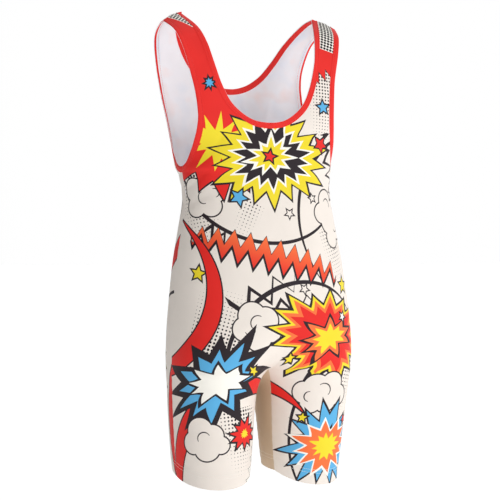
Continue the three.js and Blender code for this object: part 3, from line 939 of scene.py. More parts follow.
class SingletColours(bpy.types.PropertyGroup):
    """Colours of the cloth, its print and its thread."""

    cream: colour_property("Cream", "Ground of the print", linear(240, 231, 222))
    red: colour_property("Red", "Straps, bindings and red motifs", linear(233, 38, 32))
    yellow: colour_property("Yellow", "Bursts and stars", linear(243, 221, 45))
    sky: colour_property("Sky blue", "Blue motifs", linear(92, 178, 228))
    orange: colour_property("Orange", "Ribbons and burst rims", linear(250, 118, 62))
    black: colour_property("Black", "Outlines and dots", linear(38, 28, 34))
    beige: colour_property("Beige", "Unprinted gusset", linear(207, 184, 157))
    wrong_side: colour_property("Wrong side", "Unprinted inside of the cloth", linear(247, 246, 250))
    thread: colour_property("Hem thread", "Stitches of the hems", linear(244, 240, 232))


class SingletSizes(bpy.types.PropertyGroup):
    """Sizes of the cloth and its sewing."""

    cloth_thickness: bpy.props.FloatProperty(
        name="Cloth thickness", description="Of the panels and gusset", default=0.0012,
        min=0.0005, max=0.0016, unit="LENGTH",
    )
    binding_thickness: bpy.props.FloatProperty(
        name="Binding cloth", description="Thickness of the folded strip's cloth", default=0.0005,
        min=0.0003, max=0.0006, unit="LENGTH",
    )
    hem_thickness: bpy.props.FloatProperty(
        name="Hem cloth", description="Thickness of the turned-in hem", default=0.0007,
        min=0.0004, max=0.0009, unit="LENGTH",
    )
    stitch_length: bpy.props.FloatProperty(
        name="Stitch length", description="Length of one stitch", default=0.0024,
        min=0.0015, max=0.004, unit="LENGTH",
    )
    stitch_pitch: bpy.props.FloatProperty(
        name="Stitch pitch", description="From one stitch to the next", default=0.0031,
        min=0.002, max=0.005, unit="LENGTH",
    )
    thread_width: bpy.props.FloatProperty(
        name="Thread width", description="Width of the sewing thread", default=0.0006,
        min=0.0003, max=0.001, unit="LENGTH",
    )


def sizes():
    """The sizes as set in the sidebar."""
    return bpy.context.scene.singlet_sizes


def colours():
    """The colours as set in the sidebar."""
    return bpy.context.scene.singlet_colours


# Knit loops in millimetres: a rib, a course, and how far a course slants, as a share of itself
WALE = 1.1
COURSE = 0.9
SLANT = 0.6

# Bump: the shares of ribs and yarn beside the loops, the yarn's waves, strength and depth in metres
RIB_SHARE = 0.6
YARN_SHARE = 0.7
YARN_WAVES = 2.4
KNIT_BUMP = 0.35
KNIT_DEPTH = 0.00012
THREAD_DEPTH = 0.00005

# Unevenness of colour in soft patches, and painted shade: darker in the hollows between ribs, lighter on
# their crests
PATCH_WAVES = 0.02
PATCH_SHADE = 0.1
RIB_SHADE = 0.05

# Noise layers in yarn and patches, and how a knit takes light
FINE_DETAIL = 3.0
SHEEN_ROUGHNESS = 0.45
SPECULAR = 0.28


class Shader:
    """Builds a material's nodes, one after another."""

    def __init__(self, name, roughness, sheen):
        self.material = bpy.data.materials.new(name)
        self.material.use_nodes = True
        self.nodes = self.material.node_tree.nodes
        self.links = self.material.node_tree.links
        self.surface = self.nodes["Principled BSDF"]
        self.surface.inputs["Roughness"].default_value = roughness
        self.surface.inputs["Sheen Weight"].default_value = sheen
        self.surface.inputs["Sheen Roughness"].default_value = SHEEN_ROUGHNESS
        self.surface.inputs["Specular IOR Level"].default_value = SPECULAR
        flat_cloth = self.nodes.new("ShaderNodeUVMap")
        flat_cloth.uv_map = "flat_cloth"
        to_millimetres = self.nodes.new("ShaderNodeVectorMath")
        to_millimetres.operation = "SCALE"
        to_millimetres.inputs["Scale"].default_value = 1 / MM
        self.links.new(flat_cloth.outputs["UV"], to_millimetres.inputs[0])
        self.place = to_millimetres.outputs["Vector"]

    def feed(self, socket, value):
        """Links a socket, or sets a number or vector on an input."""
        if isinstance(value, bpy.types.NodeSocket):
            self.links.new(value, socket)
        else:
            socket.default_value = value

    def maths(self, operation, *values):
        """One Math node."""
        node = self.nodes.new("ShaderNodeMath")
        node.operation = operation
        for socket, value in zip(node.inputs, values):
            self.feed(socket, value)
        return node.outputs["Value"]

    def local(self, at, turn=0):
        """Coordinates about a point of the flat cloth, turned by degrees."""
        node = self.nodes.new("ShaderNodeMapping")
        node.vector_type = "TEXTURE"
        self.feed(node.inputs["Vector"], self.place)
        node.inputs["Location"].default_value = (at[0], at[1], 0)
        node.inputs["Rotation"].default_value = (0, 0, math.radians(turn))
        return node.outputs["Vector"]

    def apart(self, vector):
        """The across and up parts of a vector."""
        node = self.nodes.new("ShaderNodeSeparateXYZ")
        self.links.new(vector, node.inputs[0])
        return node.outputs["X"], node.outputs["Y"]

    def distance(self, vector, point=(0, 0)):
        """Distance from a point."""
        node = self.nodes.new("ShaderNodeVectorMath")
        node.operation = "DISTANCE"
        self.links.new(vector, node.inputs[0])
        node.inputs[1].default_value = (point[0], point[1], 0)
        return node.outputs["Value"]

    def mix(self, share, under, over):
        """One colour over another."""
        node = self.nodes.new("ShaderNodeMix")
        node.data_type = "RGBA"
        self.feed(node.inputs["Factor"], share)
        self.feed(node.inputs["A"], under if isinstance(under, bpy.types.NodeSocket) else (*under, 1))
        self.feed(node.inputs["B"], over if isinstance(over, bpy.types.NodeSocket) else (*over, 1))
        return node.outputs["Result"]

    def noise(self, scale, detail=2.0):
        """Soft uneven values over the flat cloth; scale is in waves for each millimetre."""
        node = self.nodes.new("ShaderNodeTexNoise")
        self.links.new(self.place, node.inputs["Vector"])
        node.inputs["Scale"].default_value = scale
        node.inputs["Detail"].default_value = detail
        return node.outputs["Fac"]

    def finish(self, colour, knit_depth=KNIT_DEPTH):
        """Knit loops as bump, a little uneven colour, painted shade between ribs and the colour itself."""
        across, up = self.apart(self.place)
        ribs = self.maths("PINGPONG", across, WALE / 2)
        ribs = self.maths("DIVIDE", ribs, WALE / 2)
        slanted = self.maths("MULTIPLY_ADD", ribs, SLANT * COURSE, up)
        loops = self.maths("PINGPONG", slanted, COURSE / 2)
        loops = self.maths("DIVIDE", loops, COURSE / 2)
        height = self.maths("MULTIPLY_ADD", ribs, RIB_SHARE, loops)
        height = self.maths("MULTIPLY_ADD", self.noise(YARN_WAVES, FINE_DETAIL), YARN_SHARE, height)
        bump = self.nodes.new("ShaderNodeBump")
        bump.inputs["Strength"].default_value = KNIT_BUMP
        bump.inputs["Distance"].default_value = knit_depth
        self.links.new(height, bump.inputs["Height"])
        self.links.new(bump.outputs["Normal"], self.surface.inputs["Normal"])
        patches = self.noise(PATCH_WAVES, FINE_DETAIL)
        shade = self.maths("MULTIPLY_ADD", patches, PATCH_SHADE, 1 - PATCH_SHADE / 2)
        # painted shade: the colour darkens in the hollows between ribs and lightens on their crests
        shade = self.maths("MULTIPLY_ADD", self.maths("SUBTRACT", ribs, 0.5), RIB_SHADE, shade)
        node = self.nodes.new("ShaderNodeVectorMath")
        node.operation = "SCALE"
        self.feed(node.inputs[0], colour)
        self.links.new(shade, node.inputs["Scale"])
        self.links.new(node.outputs["Vector"], self.surface.inputs["Base Color"])
        return self.material


# The print is a generic one of bursts, stars, puffs, bolts, ribbons and dots. Places are in
# millimetres on the flat cloth: across from the centre to the wearer's left, and up.
Burst = namedtuple("Burst", "at turn points outer inner uneven stretch bands")
Star = namedtuple("Star", "at turn size fill outline", defaults=(2.6,))
Puff = namedtuple("Puff", "lobes curls fill outline", defaults=("cream", 2.5))
Dots = namedtuple("Dots", "at turn length width pitch largest smallest")
Swoosh = namedtuple("Swoosh", "outer outer_size inner inner_size fill outline", defaults=("black", 0))
Ribbon = namedtuple("Ribbon", "at turn half_length tooth rise half_width fill_low fill_high outline")
Bolt = namedtuple("Bolt", "at turn half_length tooth rise thickness fill outline", defaults=("black", 0))
Yoke = namedtuple("Yoke", "at turn tooth rise fill outline")
Patch = namedtuple("Patch", "at turn half_length half_width pitch dot fill")

# Half the width of a puff's curl at its two ends; it is twice as wide in the middle
CURL_LINE = 0.55

# Waves round a burst that make its points uneven
UNEVEN_WAVES = (7.0, 3.0)

# A star's inner radius as a share of its outer one, and how much of its outline lies outside it
STAR_WAIST = 0.47
OUTLINE_OUTSIDE = 0.4

# How much smaller the dots are at the sides of their field, as a share of the largest
DOT_FADE = 0.7

# How fast a ribbon narrows towards its ends, and how far its shadow drops, in half widths
RIBBON_TAPER = 3.0
SHADOW_DROP = 0.45


class Print:
    """The colour of a printed cloth, built up motif by motif over a ground."""

    def __init__(self, shader, palette, ground):
        self.shader = shader
        self.palette = palette
        self.colour = palette[ground]

    def paint(self, share, colour):
        """Lays a colour over what is there."""
        over = self.palette[colour] if isinstance(colour, str) else colour
        self.colour = self.shader.mix(share, self.colour, over)

    def inside(self, distance, edge=0.0):
        """One where a distance is under an edge."""
        return self.shader.maths("LESS_THAN", distance, edge)

    def both(self, first, second):
        """One where both shares are one."""
        return self.shader.maths("MULTIPLY", first, second)

    def reach(self, x, y):
        """Distance from where both coordinates are nought."""
        maths = self.shader.maths
        return maths("SQRT", maths("MULTIPLY_ADD", x, x, maths("MULTIPLY", y, y)))

    def even_dots(self, across, up, pitch):
        """Distance to the nearest of evenly spaced points."""
        maths = self.shader.maths
        near_x, near_y = (
            maths("SUBTRACT", pitch / 2, maths("PINGPONG", value, pitch / 2)) for value in (across, up)
        )
        return self.reach(near_x, near_y)

    def spiky(self, at, turn, points, outer, inner, uneven=0.0, stretch=1.0):
        """Distance to the edge of a star or burst with that many points, negative inside."""
        maths = self.shader.maths
        x, y = self.shader.apart(self.shader.local(at, turn))
        if stretch != 1.0:
            x = maths("DIVIDE", x, stretch)
        angle = maths("ARCTAN2", y, x)
        radius = self.reach(x, y)
        if uneven:
            quick, slow = (
                maths("SINE", maths("MULTIPLY_ADD", angle, waves, start))
                for waves, start in zip(UNEVEN_WAVES, at)
            )
            swell = maths("MULTIPLY_ADD", maths("ADD", quick, slow), uneven, 1.0)
            radius = maths("MULTIPLY", radius, swell)
        folded = maths("PINGPONG", angle, math.pi / points)
        along = maths("MULTIPLY", radius, maths("COSINE", folded))
        beside = maths("MULTIPLY", radius, maths("SINE", folded))
        notch = (inner * math.cos(math.pi / points), inner * math.sin(math.pi / points))
        edge = Vector((notch[0] - outer, notch[1])).normalized()
        slanted = maths("MULTIPLY_ADD", along, edge.y, -outer * edge.y)
        return maths("MULTIPLY_ADD", beside, -edge.x, slanted)

    def zigzag(self, motif):
        """Height over a zigzag line, and the two coordinates along and over its middle."""
        across, up = self.shader.apart(self.shader.local(motif.at, motif.turn))
        wave = self.shader.maths("PINGPONG", across, motif.tooth)
        level = self.shader.maths("MULTIPLY_ADD", wave, motif.rise / motif.tooth, -motif.rise / 2)
        return self.shader.maths("SUBTRACT", up, level), across, up

    def burst(self, motif):
        """A spiky burst of nested bands, the outermost first."""
        distance = self.spiky(*motif[:-1])
        for depth, colour in motif.bands:
            self.paint(self.inside(distance, -depth), colour)

    def star(self, motif):
        """An ordinary five-pointed star with an outline."""
        distance = self.spiky(motif.at, motif.turn, 5, motif.size, motif.size * STAR_WAIST)
        self.paint(self.inside(distance, motif.outline * OUTLINE_OUTSIDE), "black")
        self.paint(self.inside(distance, -motif.outline * (1 - OUTLINE_OUTSIDE)), motif.fill)

    def puff(self, motif):
        """A cloud of round lobes, with short curls inside some of them."""
        maths = self.shader.maths
        distance = None
        for x, y, size in motif.lobes:
            lobe = maths("SUBTRACT", self.shader.distance(self.shader.place, (x, y)), size)
            distance = lobe if distance is None else maths("MINIMUM", distance, lobe)
        self.paint(self.inside(distance, motif.outline), "black")
        self.paint(self.inside(distance), motif.fill)
        for x, y, size, turn in motif.curls:
            vector = self.shader.local((x, y), turn)
            across, _ = self.shader.apart(vector)
            ring = maths("ABSOLUTE", maths("SUBTRACT", self.shader.distance(vector), size))
            taper = maths("MULTIPLY_ADD", across, CURL_LINE / size, CURL_LINE)
            curl = self.both(self.inside(ring, taper), maths("GREATER_THAN", across, 0.0))
            self.paint(curl, "black")

    def dots(self, motif):
        """A field of round dots that shrink along it and towards its sides."""
        maths = self.shader.maths
        across, up = self.shader.apart(self.shader.local(motif.at, motif.turn))
        reach = self.even_dots(across, up, motif.pitch)
        share = maths("DIVIDE", up, motif.length)
        beside = maths("DIVIDE", across, motif.width)
        slope, middle = (motif.largest - motif.smallest) / 2, (motif.largest + motif.smallest) / 2
        size = maths("MULTIPLY_ADD", share, slope, middle)
        size = maths("MULTIPLY_ADD", maths("MULTIPLY", beside, beside), -motif.largest * DOT_FADE, size)
        box = maths("MAXIMUM", maths("ABSOLUTE", share), maths("ABSOLUTE", beside))
        self.paint(self.both(self.inside(reach, size), self.inside(box, 1.0)), "black")

    def patch(self, motif):
        """A box of even dots on its own ground."""
        maths = self.shader.maths
        across, up = self.shader.apart(self.shader.local(motif.at, motif.turn))
        beside = maths("DIVIDE", across, motif.half_width)
        over = maths("DIVIDE", up, motif.half_length)
        box = self.inside(maths("MAXIMUM", maths("ABSOLUTE", beside), maths("ABSOLUTE", over)), 1.0)
        self.paint(box, motif.fill)
        reach = self.even_dots(across, up, motif.pitch)
        self.paint(self.both(box, self.inside(reach, motif.dot)), "black")

    def swoosh(self, motif):
        """A crescent between two circles; a thin one is a tapered line."""
        maths = self.shader.maths
        from_outer = self.shader.distance(self.shader.place, motif.outer)
        in_outer = maths("SUBTRACT", from_outer, motif.outer_size)
        from_inner = self.shader.distance(self.shader.place, motif.inner)
        past_inner = maths("SUBTRACT", motif.inner_size, from_inner)
        distance = maths("MAXIMUM", in_outer, past_inner)
        if motif.outline:
            self.paint(self.inside(distance, motif.outline), "black")
        self.paint(self.inside(distance), motif.fill)

    def ribbon(self, motif):
        """A zigzag band with narrowing ends, shaded along its height, with a black shadow under it."""
        maths = self.shader.maths
        over, across, up = self.zigzag(motif)
        along = maths("DIVIDE", across, motif.half_length)
        ends = maths("POWER", maths("ABSOLUTE", along), RIBBON_TAPER)
        width = maths("MULTIPLY_ADD", ends, -motif.half_width, motif.half_width)
        distance = maths("SUBTRACT", maths("ABSOLUTE", over), width)
        dropped = maths("ADD", over, motif.half_width * SHADOW_DROP)
        shadow = maths("SUBTRACT", maths("ABSOLUTE", dropped), width)
        within = self.inside(maths("ABSOLUTE", along), 1.0)
        dark = self.inside(maths("MINIMUM", distance, shadow), motif.outline)
        self.paint(self.both(within, dark), "black")
        height = maths("MULTIPLY_ADD", up, 0.5 / (motif.rise / 2 + motif.half_width), 0.5)
        shaded = self.shader.mix(height, self.palette[motif.fill_low], self.palette[motif.fill_high])
        self.paint(self.both(within, self.inside(distance)), shaded)

    def bolt(self, motif):
        """A zigzag bolt that tapers to a point."""
        maths = self.shader.maths
        over, across, _ = self.zigzag(motif)
        along = maths("DIVIDE", across, motif.half_length)
        width = maths("MULTIPLY_ADD", along, -motif.thickness / 4, motif.thickness / 4)
        distance = maths("SUBTRACT", maths("ABSOLUTE", over), width)
        within = self.inside(maths("ABSOLUTE", along), 1.0)
        if motif.outline:
            self.paint(self.both(within, self.inside(distance, motif.outline)), "black")
        self.paint(self.both(within, self.inside(distance)), motif.fill)

    def yoke(self, motif):
        """All the cloth above a zigzag line."""
        over, _, _ = self.zigzag(motif)
        if motif.outline:
            self.paint(self.shader.maths("GREATER_THAN", over, -motif.outline), "black")
        self.paint(self.shader.maths("GREATER_THAN", over, 0.0), motif.fill)

    def draw(self, motifs):
        """Draws motifs in order, the lowest first."""
        how = {
            Burst: self.burst, Star: self.star, Puff: self.puff, Dots: self.dots, Swoosh: self.swoosh,
            Ribbon: self.ribbon, Bolt: self.bolt, Yoke: self.yoke, Patch: self.patch,
        }
        for motif in motifs:
            how[type(motif)](motif)


FRONT_MOTIFS = [
    Dots((-140, -372), 10, 78, 46, 6.4, 2.5, 0.3),
    Dots((-64, -392), -24, 46, 24, 6.4, 1.6, 0.1),
    Dots((112, -172), -4, 84, 36, 6.2, 2.2, 0.5),
    Dots((-108, -566), -16, 62, 56, 6.6, 0.3, 2.5),
    Dots((128, -452), 14, 60, 34, 6.4, 1.9, 0.2),
    Dots((140, -676), -8, 58, 36, 6.4, 2.1, 0.4),
    Dots((-74, -776), 6, 62, 46, 6.6, 2.4, 0.3),
    Swoosh((210, -380), 172, (214.5, -384), 171, "black"),
    Swoosh((-12, -250), 178, (-10, -245), 176.5, "black"),
    Swoosh((40, -640), 150, (44, -645), 148, "black"),
    Swoosh((250, -760), 212, (254.5, -763), 211, "black"),
    Puff(
        [(118, -384, 24), (142, -366, 20), (96, -370, 18), (112, -348, 20), (148, -394, 22), (124, -414, 18)],
        [(114, -354, 10, 60), (142, -392, 11, -50)],
    ),
    Puff(
        [(-152, -330, 20), (-132, -342, 22), (-110, -334, 18), (-120, -358, 19), (-148, -360, 18)],
        [(-132, -344, 11, 200), (-112, -336, 8, 20)],
    ),
    Bolt((132, -296), -70, 84, 16, 26, 16, "black"),
    Burst((-96, -232), 6, 15, 124, 88, 0.07, 1.0, [(0, "black")]),
    Yoke((0, -146), 20, 9, 20, "red", 3.0),
    Burst((-96, -232), 6, 15, 124, 88, 0.07, 1.0, [(2.6, "red")]),
    Burst((-100, -236), -8, 12, 60, 26, 0.1, 1.1, [(0, "yellow")]),
    Burst(
        (-2, -264), 9, 18, 106, 74, 0.07, 1.15,
        [(0, "black"), (2.8, "yellow"), (12, "white"), (15, "black")],
    ),
    Burst((-4, -262), 24, 11, 30, 17, 0.09, 1.35, [(-3.4, "white"), (0, "yellow")]),
    Star((-6, -262), 4, 16, "red", 3.0),
    Burst((-110, -126), 10, 8, 17, 9, 0.05, 1.0, [(0, "black"), (2.8, "sky")]),
    Star((110, -164), 22, 16, "sky"),
    Star((104, -236), -14, 19, "red"),
    Star((-70, -344), -10, 19, "sky"),
    Star((22, -372), -20, 11, "cream", 2.0),
    Star((74, -344), 30, 10, "cream", 2.0),
    Bolt((-96, -424), -34, 44, 12, 26, 14, "black"),
    Ribbon((-20, -446), -14, 146, 14, 30, 15, "red", "orange", 2.4),
    Star((-152, -478), 6, 17, "yellow"),
    Star((40, -506), -12, 11, "cream", 2.0),
    Star((142, -500), 18, 18, "yellow"),
    Swoosh((-262, -512), 150, (-282, -492), 146, "red", 2.6),
    Bolt((-34, -512), 24, 70, 24, 40, 17, "black"),
    Bolt((20, -536), 8, 66, 26, 32, 12, "black"),
    Puff(
        [(-62, -552, 24), (-38, -560, 23), (-76, -574, 20), (-50, -588, 24), (-26, -580, 17)],
        [(-52, -564, 13, 150), (-66, -576, 9, -70)],
    ),
    Burst(
        (88, -588), -8, 16, 86, 60, 0.07, 1.5,
        [(0, "black"), (3.0, "yellow"), (6.5, "orange"), (11, "red")],
    ),
    Burst((90, -592), 14, 9, 34, 19, 0.1, 1.9, [(-2.6, "black"), (0, "orange"), (4, "yellow")]),
    Star((16, -628), 24, 13, "yellow"),
    Star((128, -556), -10, 12, "white"),
    Puff(
        [(84, -682, 24), (112, -674, 20), (60, -690, 19), (128, -696, 18), (100, -704, 22), (74, -708, 19)],
        [(96, -686, 12, 40), (70, -698, 9, 170)],
    ),
    Swoosh((-60, -812), 150, (-36, -842), 152, "red", 2.6),
    Burst((-124, -668), 34, 12, 84, 50, 0.07, 1.45, [(0, "black"), (9, "sky")]),
    Burst((-124, -668), 12, 9, 32, 18, 0.08, 1.8, [(-2.8, "black"), (0, "white")]),
    Star((-58, -648), -18, 14, "yellow"),
    Puff(
        [(-152, -752, 22), (-130, -762, 20), (-162, -774, 20), (-138, -784, 22), (-114, -778, 15)],
        [(-144, -766, 11, 120)],
    ),
    Burst((-66, -760), 10, 11, 34, 20, 0.08, 1.2, [(0, "black"), (2.6, "red"), (9, "yellow")]),
    Burst((112, -786), -14, 16, 82, 50, 0.08, 1.15, [(0, "black"), (2.6, "sky"), (13, "black")]),
    Burst((112, -788), 8, 12, 48, 29, 0.08, 1.3, [(-2.4, "white"), (0, "orange"), (8, "yellow")]),
    Star((62, -736), 12, 12, "yellow"),
    Star((158, -742), -22, 12, "red"),
    Bolt((-34, -818), 76, 52, 10, 18, 16, "white", 2.2),
    Patch((141, -12), -17, 44, 23, 6.2, 2.6, "white"),
    Patch((-127, 20), -43, 26, 40, 6.2, 2.5, "white"),
]

BACK_MOTIFS = [
    Dots((110, -262), 12, 84, 44, 6.4, 2.4, 0.3),
    Dots((-120, -250), -14, 70, 40, 6.4, 1.9, 0.3),
    Dots((-96, -520), 8, 74, 52, 6.6, 0.3, 2.5),
    Dots((126, -640), -10, 66, 48, 6.6, 2.4, 0.3),
    Dots((-118, -776), -6, 58, 40, 6.6, 2.3, 0.3),
    Swoosh((140, -420), 130, (143, -424), 129, "black"),
    Swoosh((-250, -690), 176, (-254, -694), 175, "black"),
    Swoosh((-70, -330), 190, (-48, -322), 178, "red", 2.6),
    Swoosh((-460, -764), 256, (-900, -764), 10, "red", 2.6),
    Puff(
        [(-128, -356, 25), (-100, -366, 22), (-150, -374, 19), (-120, -388, 26), (-92, -394, 18)],
        [(-118, -370, 13, 20), (-98, -386, 9, 160)],
    ),
    Puff(
        [(104, -548, 22), (130, -540, 24), (86, -562, 18), (118, -568, 22), (146, -564, 20)],
        [(120, -552, 12, 80), (94, -562, 8, 200)],
    ),
    Burst(
        (26, -236), -10, 15, 92, 62, 0.08, 1.25,
        [(0, "black"), (2.8, "sky"), (12, "white"), (15, "black")],
    ),
    Burst((26, -236), 14, 10, 32, 18, 0.08, 1.4, [(-3.4, "white"), (0, "yellow")]),
    Star((26, -236), -8, 17, "red", 3.2),
    Burst(
        (-56, -466), 12, 17, 84, 56, 0.07, 1.3,
        [(0, "black"), (3.0, "yellow"), (7, "orange"), (12, "red")],
    ),
    Burst((-58, -466), 0, 9, 34, 19, 0.1, 1.6, [(-2.6, "black"), (0, "yellow")]),
    Ribbon((66, -408), 12, 92, 13, 28, 15, "red", "orange", 2.4),
    Bolt((96, -470), 36, 70, 18, 32, 16, "black"),
    Bolt((8, -566), -20, 84, 20, 34, 17, "white", 2.4),
    Burst((-130, -648), -6, 13, 66, 42, 0.08, 1.2, [(0, "black"), (2.8, "yellow"), (12, "black")]),
    Burst((-130, -648), 16, 9, 32, 18, 0.08, 1.3, [(-2.4, "white"), (0, "sky")]),
    Burst((104, -742), 10, 14, 74, 48, 0.08, 1.1, [(0, "black"), (2.8, "orange"), (12, "yellow")]),
    Star((104, -742), 18, 22, "sky", 3.0),
    Puff(
        [(-78, -782, 20), (-56, -772, 18), (-92, -798, 17), (-66, -800, 20)],
        [(-72, -786, 11, 30)],
    ),
    Yoke((0, -118), -14, 9, 20, "red", 3.0),
    Star((-104, -196), -10, 15, "yellow"),
    Star((122, -188), 14, 14, "yellow"),
    Star((-152, -300), 20, 15, "red"),
    Star((150, -316), -12, 16, "yellow"),
    Star((-8, -350), 8, 13, "sky"),
    Star((56, -506), -16, 15, "yellow"),
    Star((-150, -566), 12, 16, "red"),
    Star((52, -618), 24, 15, "sky"),
    Star((-44, -700), -14, 15, "yellow"),
    Star((166, -680), 6, 14, "red"),
    Star((60, -806), 16, 13, "white"),
    Patch((146, 16), -17, 34, 24, 6.2, 2.35, "white"),
    Patch((-146, 16), 17, 34, 24, 6.2, 2.35, "white"),
]


PRINT_WHITE = (252, 249, 240)


def palette():
    """The print's colours by name."""
    names = ("cream", "red", "yellow", "sky", "orange", "black")
    found = {name: tuple(getattr(colours(), name)) for name in names}
    found["white"] = linear(*PRINT_WHITE)
    return found


def printed_cloth(name, motifs):
    """Knit printed with motifs."""
    shader = Shader(name, roughness=0.66, sheen=0.08)
    layers = Print(shader, palette(), "cream")
    layers.draw(motifs)
    return shader.finish(layers.colour)


def plain_cloth(name, colour, roughness=0.66, sheen=0.15, knit_depth=KNIT_DEPTH):
    """An unprinted knit."""
    shader = Shader(name, roughness, sheen)
    return shader.finish(tuple(colour), knit_depth)


# Faint colours on the inside of the cloth: waves for each millimetre, and the colour
SHOWN_THROUGH = [(0.013, (226, 236, 249)), (0.019, (250, 232, 230)), (0.009, (240, 238, 242))]
TINT_CONTRAST = 4.0
TINT_START = 2.1


def shown_through(name):
    """The cloth's unprinted inside, where the print's colours show through faintly."""
    shader = Shader(name, roughness=0.78, sheen=0.15)
    colour = tuple(colours().wrong_side)
    for scale, tint in SHOWN_THROUGH:
        share = shader.maths("MULTIPLY_ADD", shader.noise(scale), TINT_CONTRAST, -TINT_START)
        share = shader.maths("MINIMUM", shader.maths("MAXIMUM", share, 0.0), 1.0)
        colour = shader.mix(share, colour, linear(*tint))
    return shader.finish(colour)


def shared(make, name, *details):
    """A material that several pieces share, made once."""
    return bpy.data.materials.get(name) or make(name, *details)


def printed_cloths():
    """The front panel's and the back panel's printed knits."""
    return (
        shared(printed_cloth, "printed_knit_front", FRONT_MOTIFS),
        shared(printed_cloth, "printed_knit_back", BACK_MOTIFS),
    )


def wrong_side_cloth():
    """The cloth's inside."""
    return shared(shown_through, "wrong_side_knit")


def beige_cloth():
    """The gusset's cloth."""
    return shared(plain_cloth, "plain_knit_beige", colours().beige)


def red_cloth():
    """The bindings' cloth."""
    return shared(plain_cloth, "binding_knit_red", colours().red, 0.6, 0.08)


def thread(name, colour):
    """Sewing thread."""
    return shared(plain_cloth, name, colour, 0.5, 0.2, THREAD_DEPTH)


class SINGLET_OT_panels(bpy.types.Operator):
    """Front and back panels with their print, folds and creases"""

    bl_idname = "singlet.panels"
    bl_label = "Printed panels"

    def execute(self, context):
        for panel, printed in zip((front, back), printed_cloths()):
            name = f"cloth_{panel.name}"
            item = cloth_object(name, panel, [printed, wrong_side_cloth()])
            give_thickness(item, sizes().cloth_thickness, 1)
            settle(item, "printed_knit", f"{panel.name}_panel")
        return {"FINISHED"}


class SINGLET_OT_gusset(bpy.types.Operator):
    """Unprinted gusset through the crotch and down both inner legs"""

    bl_idname = "singlet.gusset"
    bl_label = "Gusset"

    def execute(self, context):
        item = cloth_object("cloth_gusset", gusset, [beige_cloth(), wrong_side_cloth()])
        give_thickness(item, sizes().cloth_thickness, 1)
        settle(item, "plain_knit", "gusset")
        return {"FINISHED"}


class SINGLET_OT_bindings(bpy.types.Operator):
    """Folded red strips round the neckline and both armholes"""

    bl_idname = "singlet.bindings"
    bl_label = "Bindings"

    def execute(self, context):
        materials = [red_cloth(), wrong_side_cloth()]
        thickness = sizes().binding_thickness
        armhole = armhole_strip()
        neck_back, neck_front = neck_strips()
        made = [
            ("binding_armhole_left", armhole, ARMHOLE_COLOURS, False, "armhole_binding_left"),
            ("binding_armhole_right", armhole, ARMHOLE_COLOURS, True, "armhole_binding_right"),
            ("binding_neck_back", neck_back, NECK_COLOURS, False, "neck_binding_back"),
            ("binding_neck_front", neck_front, NECK_COLOURS, False, "neck_binding_front"),
        ]
        for name, strip, which, flip, node in made:
            item = binding_object(name, strip, thickness, materials, which, flip)
            settle(item, "red_binding", node)
            length = strip.length() * MM
        return {"FINISHED"}


class SINGLET_OT_hems(bpy.types.Operator):
    """Turned-in leg hems with two rows of stitches"""

    bl_idname = "singlet.hems"
    bl_label = "Hems"

    def execute(self, context):
        leg = LegEnd()
        rings = np.stack([leg.ring(above, inward) for above, inward in HEM_SECTION], axis=1)
        places = leg.turned_places([above for above, _ in HEM_SECTION])
        cloths = leg.cloths()[:, None]
        front_cloth, back_cloth = printed_cloths()
        materials = [front_cloth, beige_cloth(), back_cloth]
        for side in ("left", "right"):
            right = side == "right"
            grid = flip_side(rings) if right else rings
            flat = places * (-1, 1) if right else places
            item = grid_object(f"hem_cloth_{side}", grid, flat, materials, True, cloths, not right)
            give_thickness(item, sizes().hem_thickness)
            settle(item, "printed_knit", f"hem_{side}")
        return {"FINISHED"}


class SINGLET_OT_stitches(bpy.types.Operator):
    """Rows of thread along the bindings and hems"""

    bl_idname = "singlet.stitches"
    bl_label = "Stitches"

    def execute(self, context):
        red_thread = thread("thread_red", colours().red)
        hem_thread = thread("thread_hem", colours().thread)
        armhole = armhole_strip()
        neck_back, neck_front = neck_strips()
        beside, above = BINDING_STITCH_LINE
        for name, strip, flip in (
            ("stitches_armhole_left", armhole, False),
            ("stitches_armhole_right", armhole, True),
            ("stitches_neck_back", neck_back, False),
            ("stitches_neck_front", neck_front, False),
        ):
            lines = [(strip.line(beside, face * above), face * strip.up) for face in (1, -1)]
            lines = flipped(lines) if flip else lines
            item = stitches_object(name, lines, red_thread, strip.closed)
            settle(item, "red_binding")
        leg = LegEnd()
        outward = sizes().cloth_thickness / MM / 2 + THREAD_LIFT
        lines = [(leg.ring(above, -outward), leg.directions(above)) for above in HEM_STITCH_LINES]
        for side, its_lines in (("left", lines), ("right", flipped(lines))):
            item = stitches_object(f"stitches_hem_{side}", its_lines, hem_thread, True)
            settle(item, "printed_knit")
        return {"FINISHED"}


# Camera: from the wearer's right front, level, at the height of the body's middle
CAMERA_AZIMUTH = -25.0
CAMERA_DISTANCE = 3.3
CAMERA_HEIGHT = -0.4235
PIXELS_PER_MILLIMETRE = 0.556
PICTURE_WIDTH = 500
SENSOR_WIDTH = 36
CLIP_END = 100

# Floor: its size, how far it lies under the garment, how pale and rough it is and how it glows
FLOOR_SIZE = 120
FLOOR_DROP = 0.12
FLOOR_PALE = 0.9
FLOOR_ROUGHNESS = 0.9
FLOOR_GLOW = 0.48

# Studio light towards a side: where it begins and ends to fall, and what is left of it
DARK_SIDE_FALL = (0.12, 0.45, 0.03)
FRONT_FALL = (-0.2, 0.5, 0.72)

# The lamp, and the height that it faces
KEY_PLACE = (1.2, -3.1, 0.1)
KEY_SIZE = 1.2
KEY_POWER = 24
KEY_AIM = -0.42


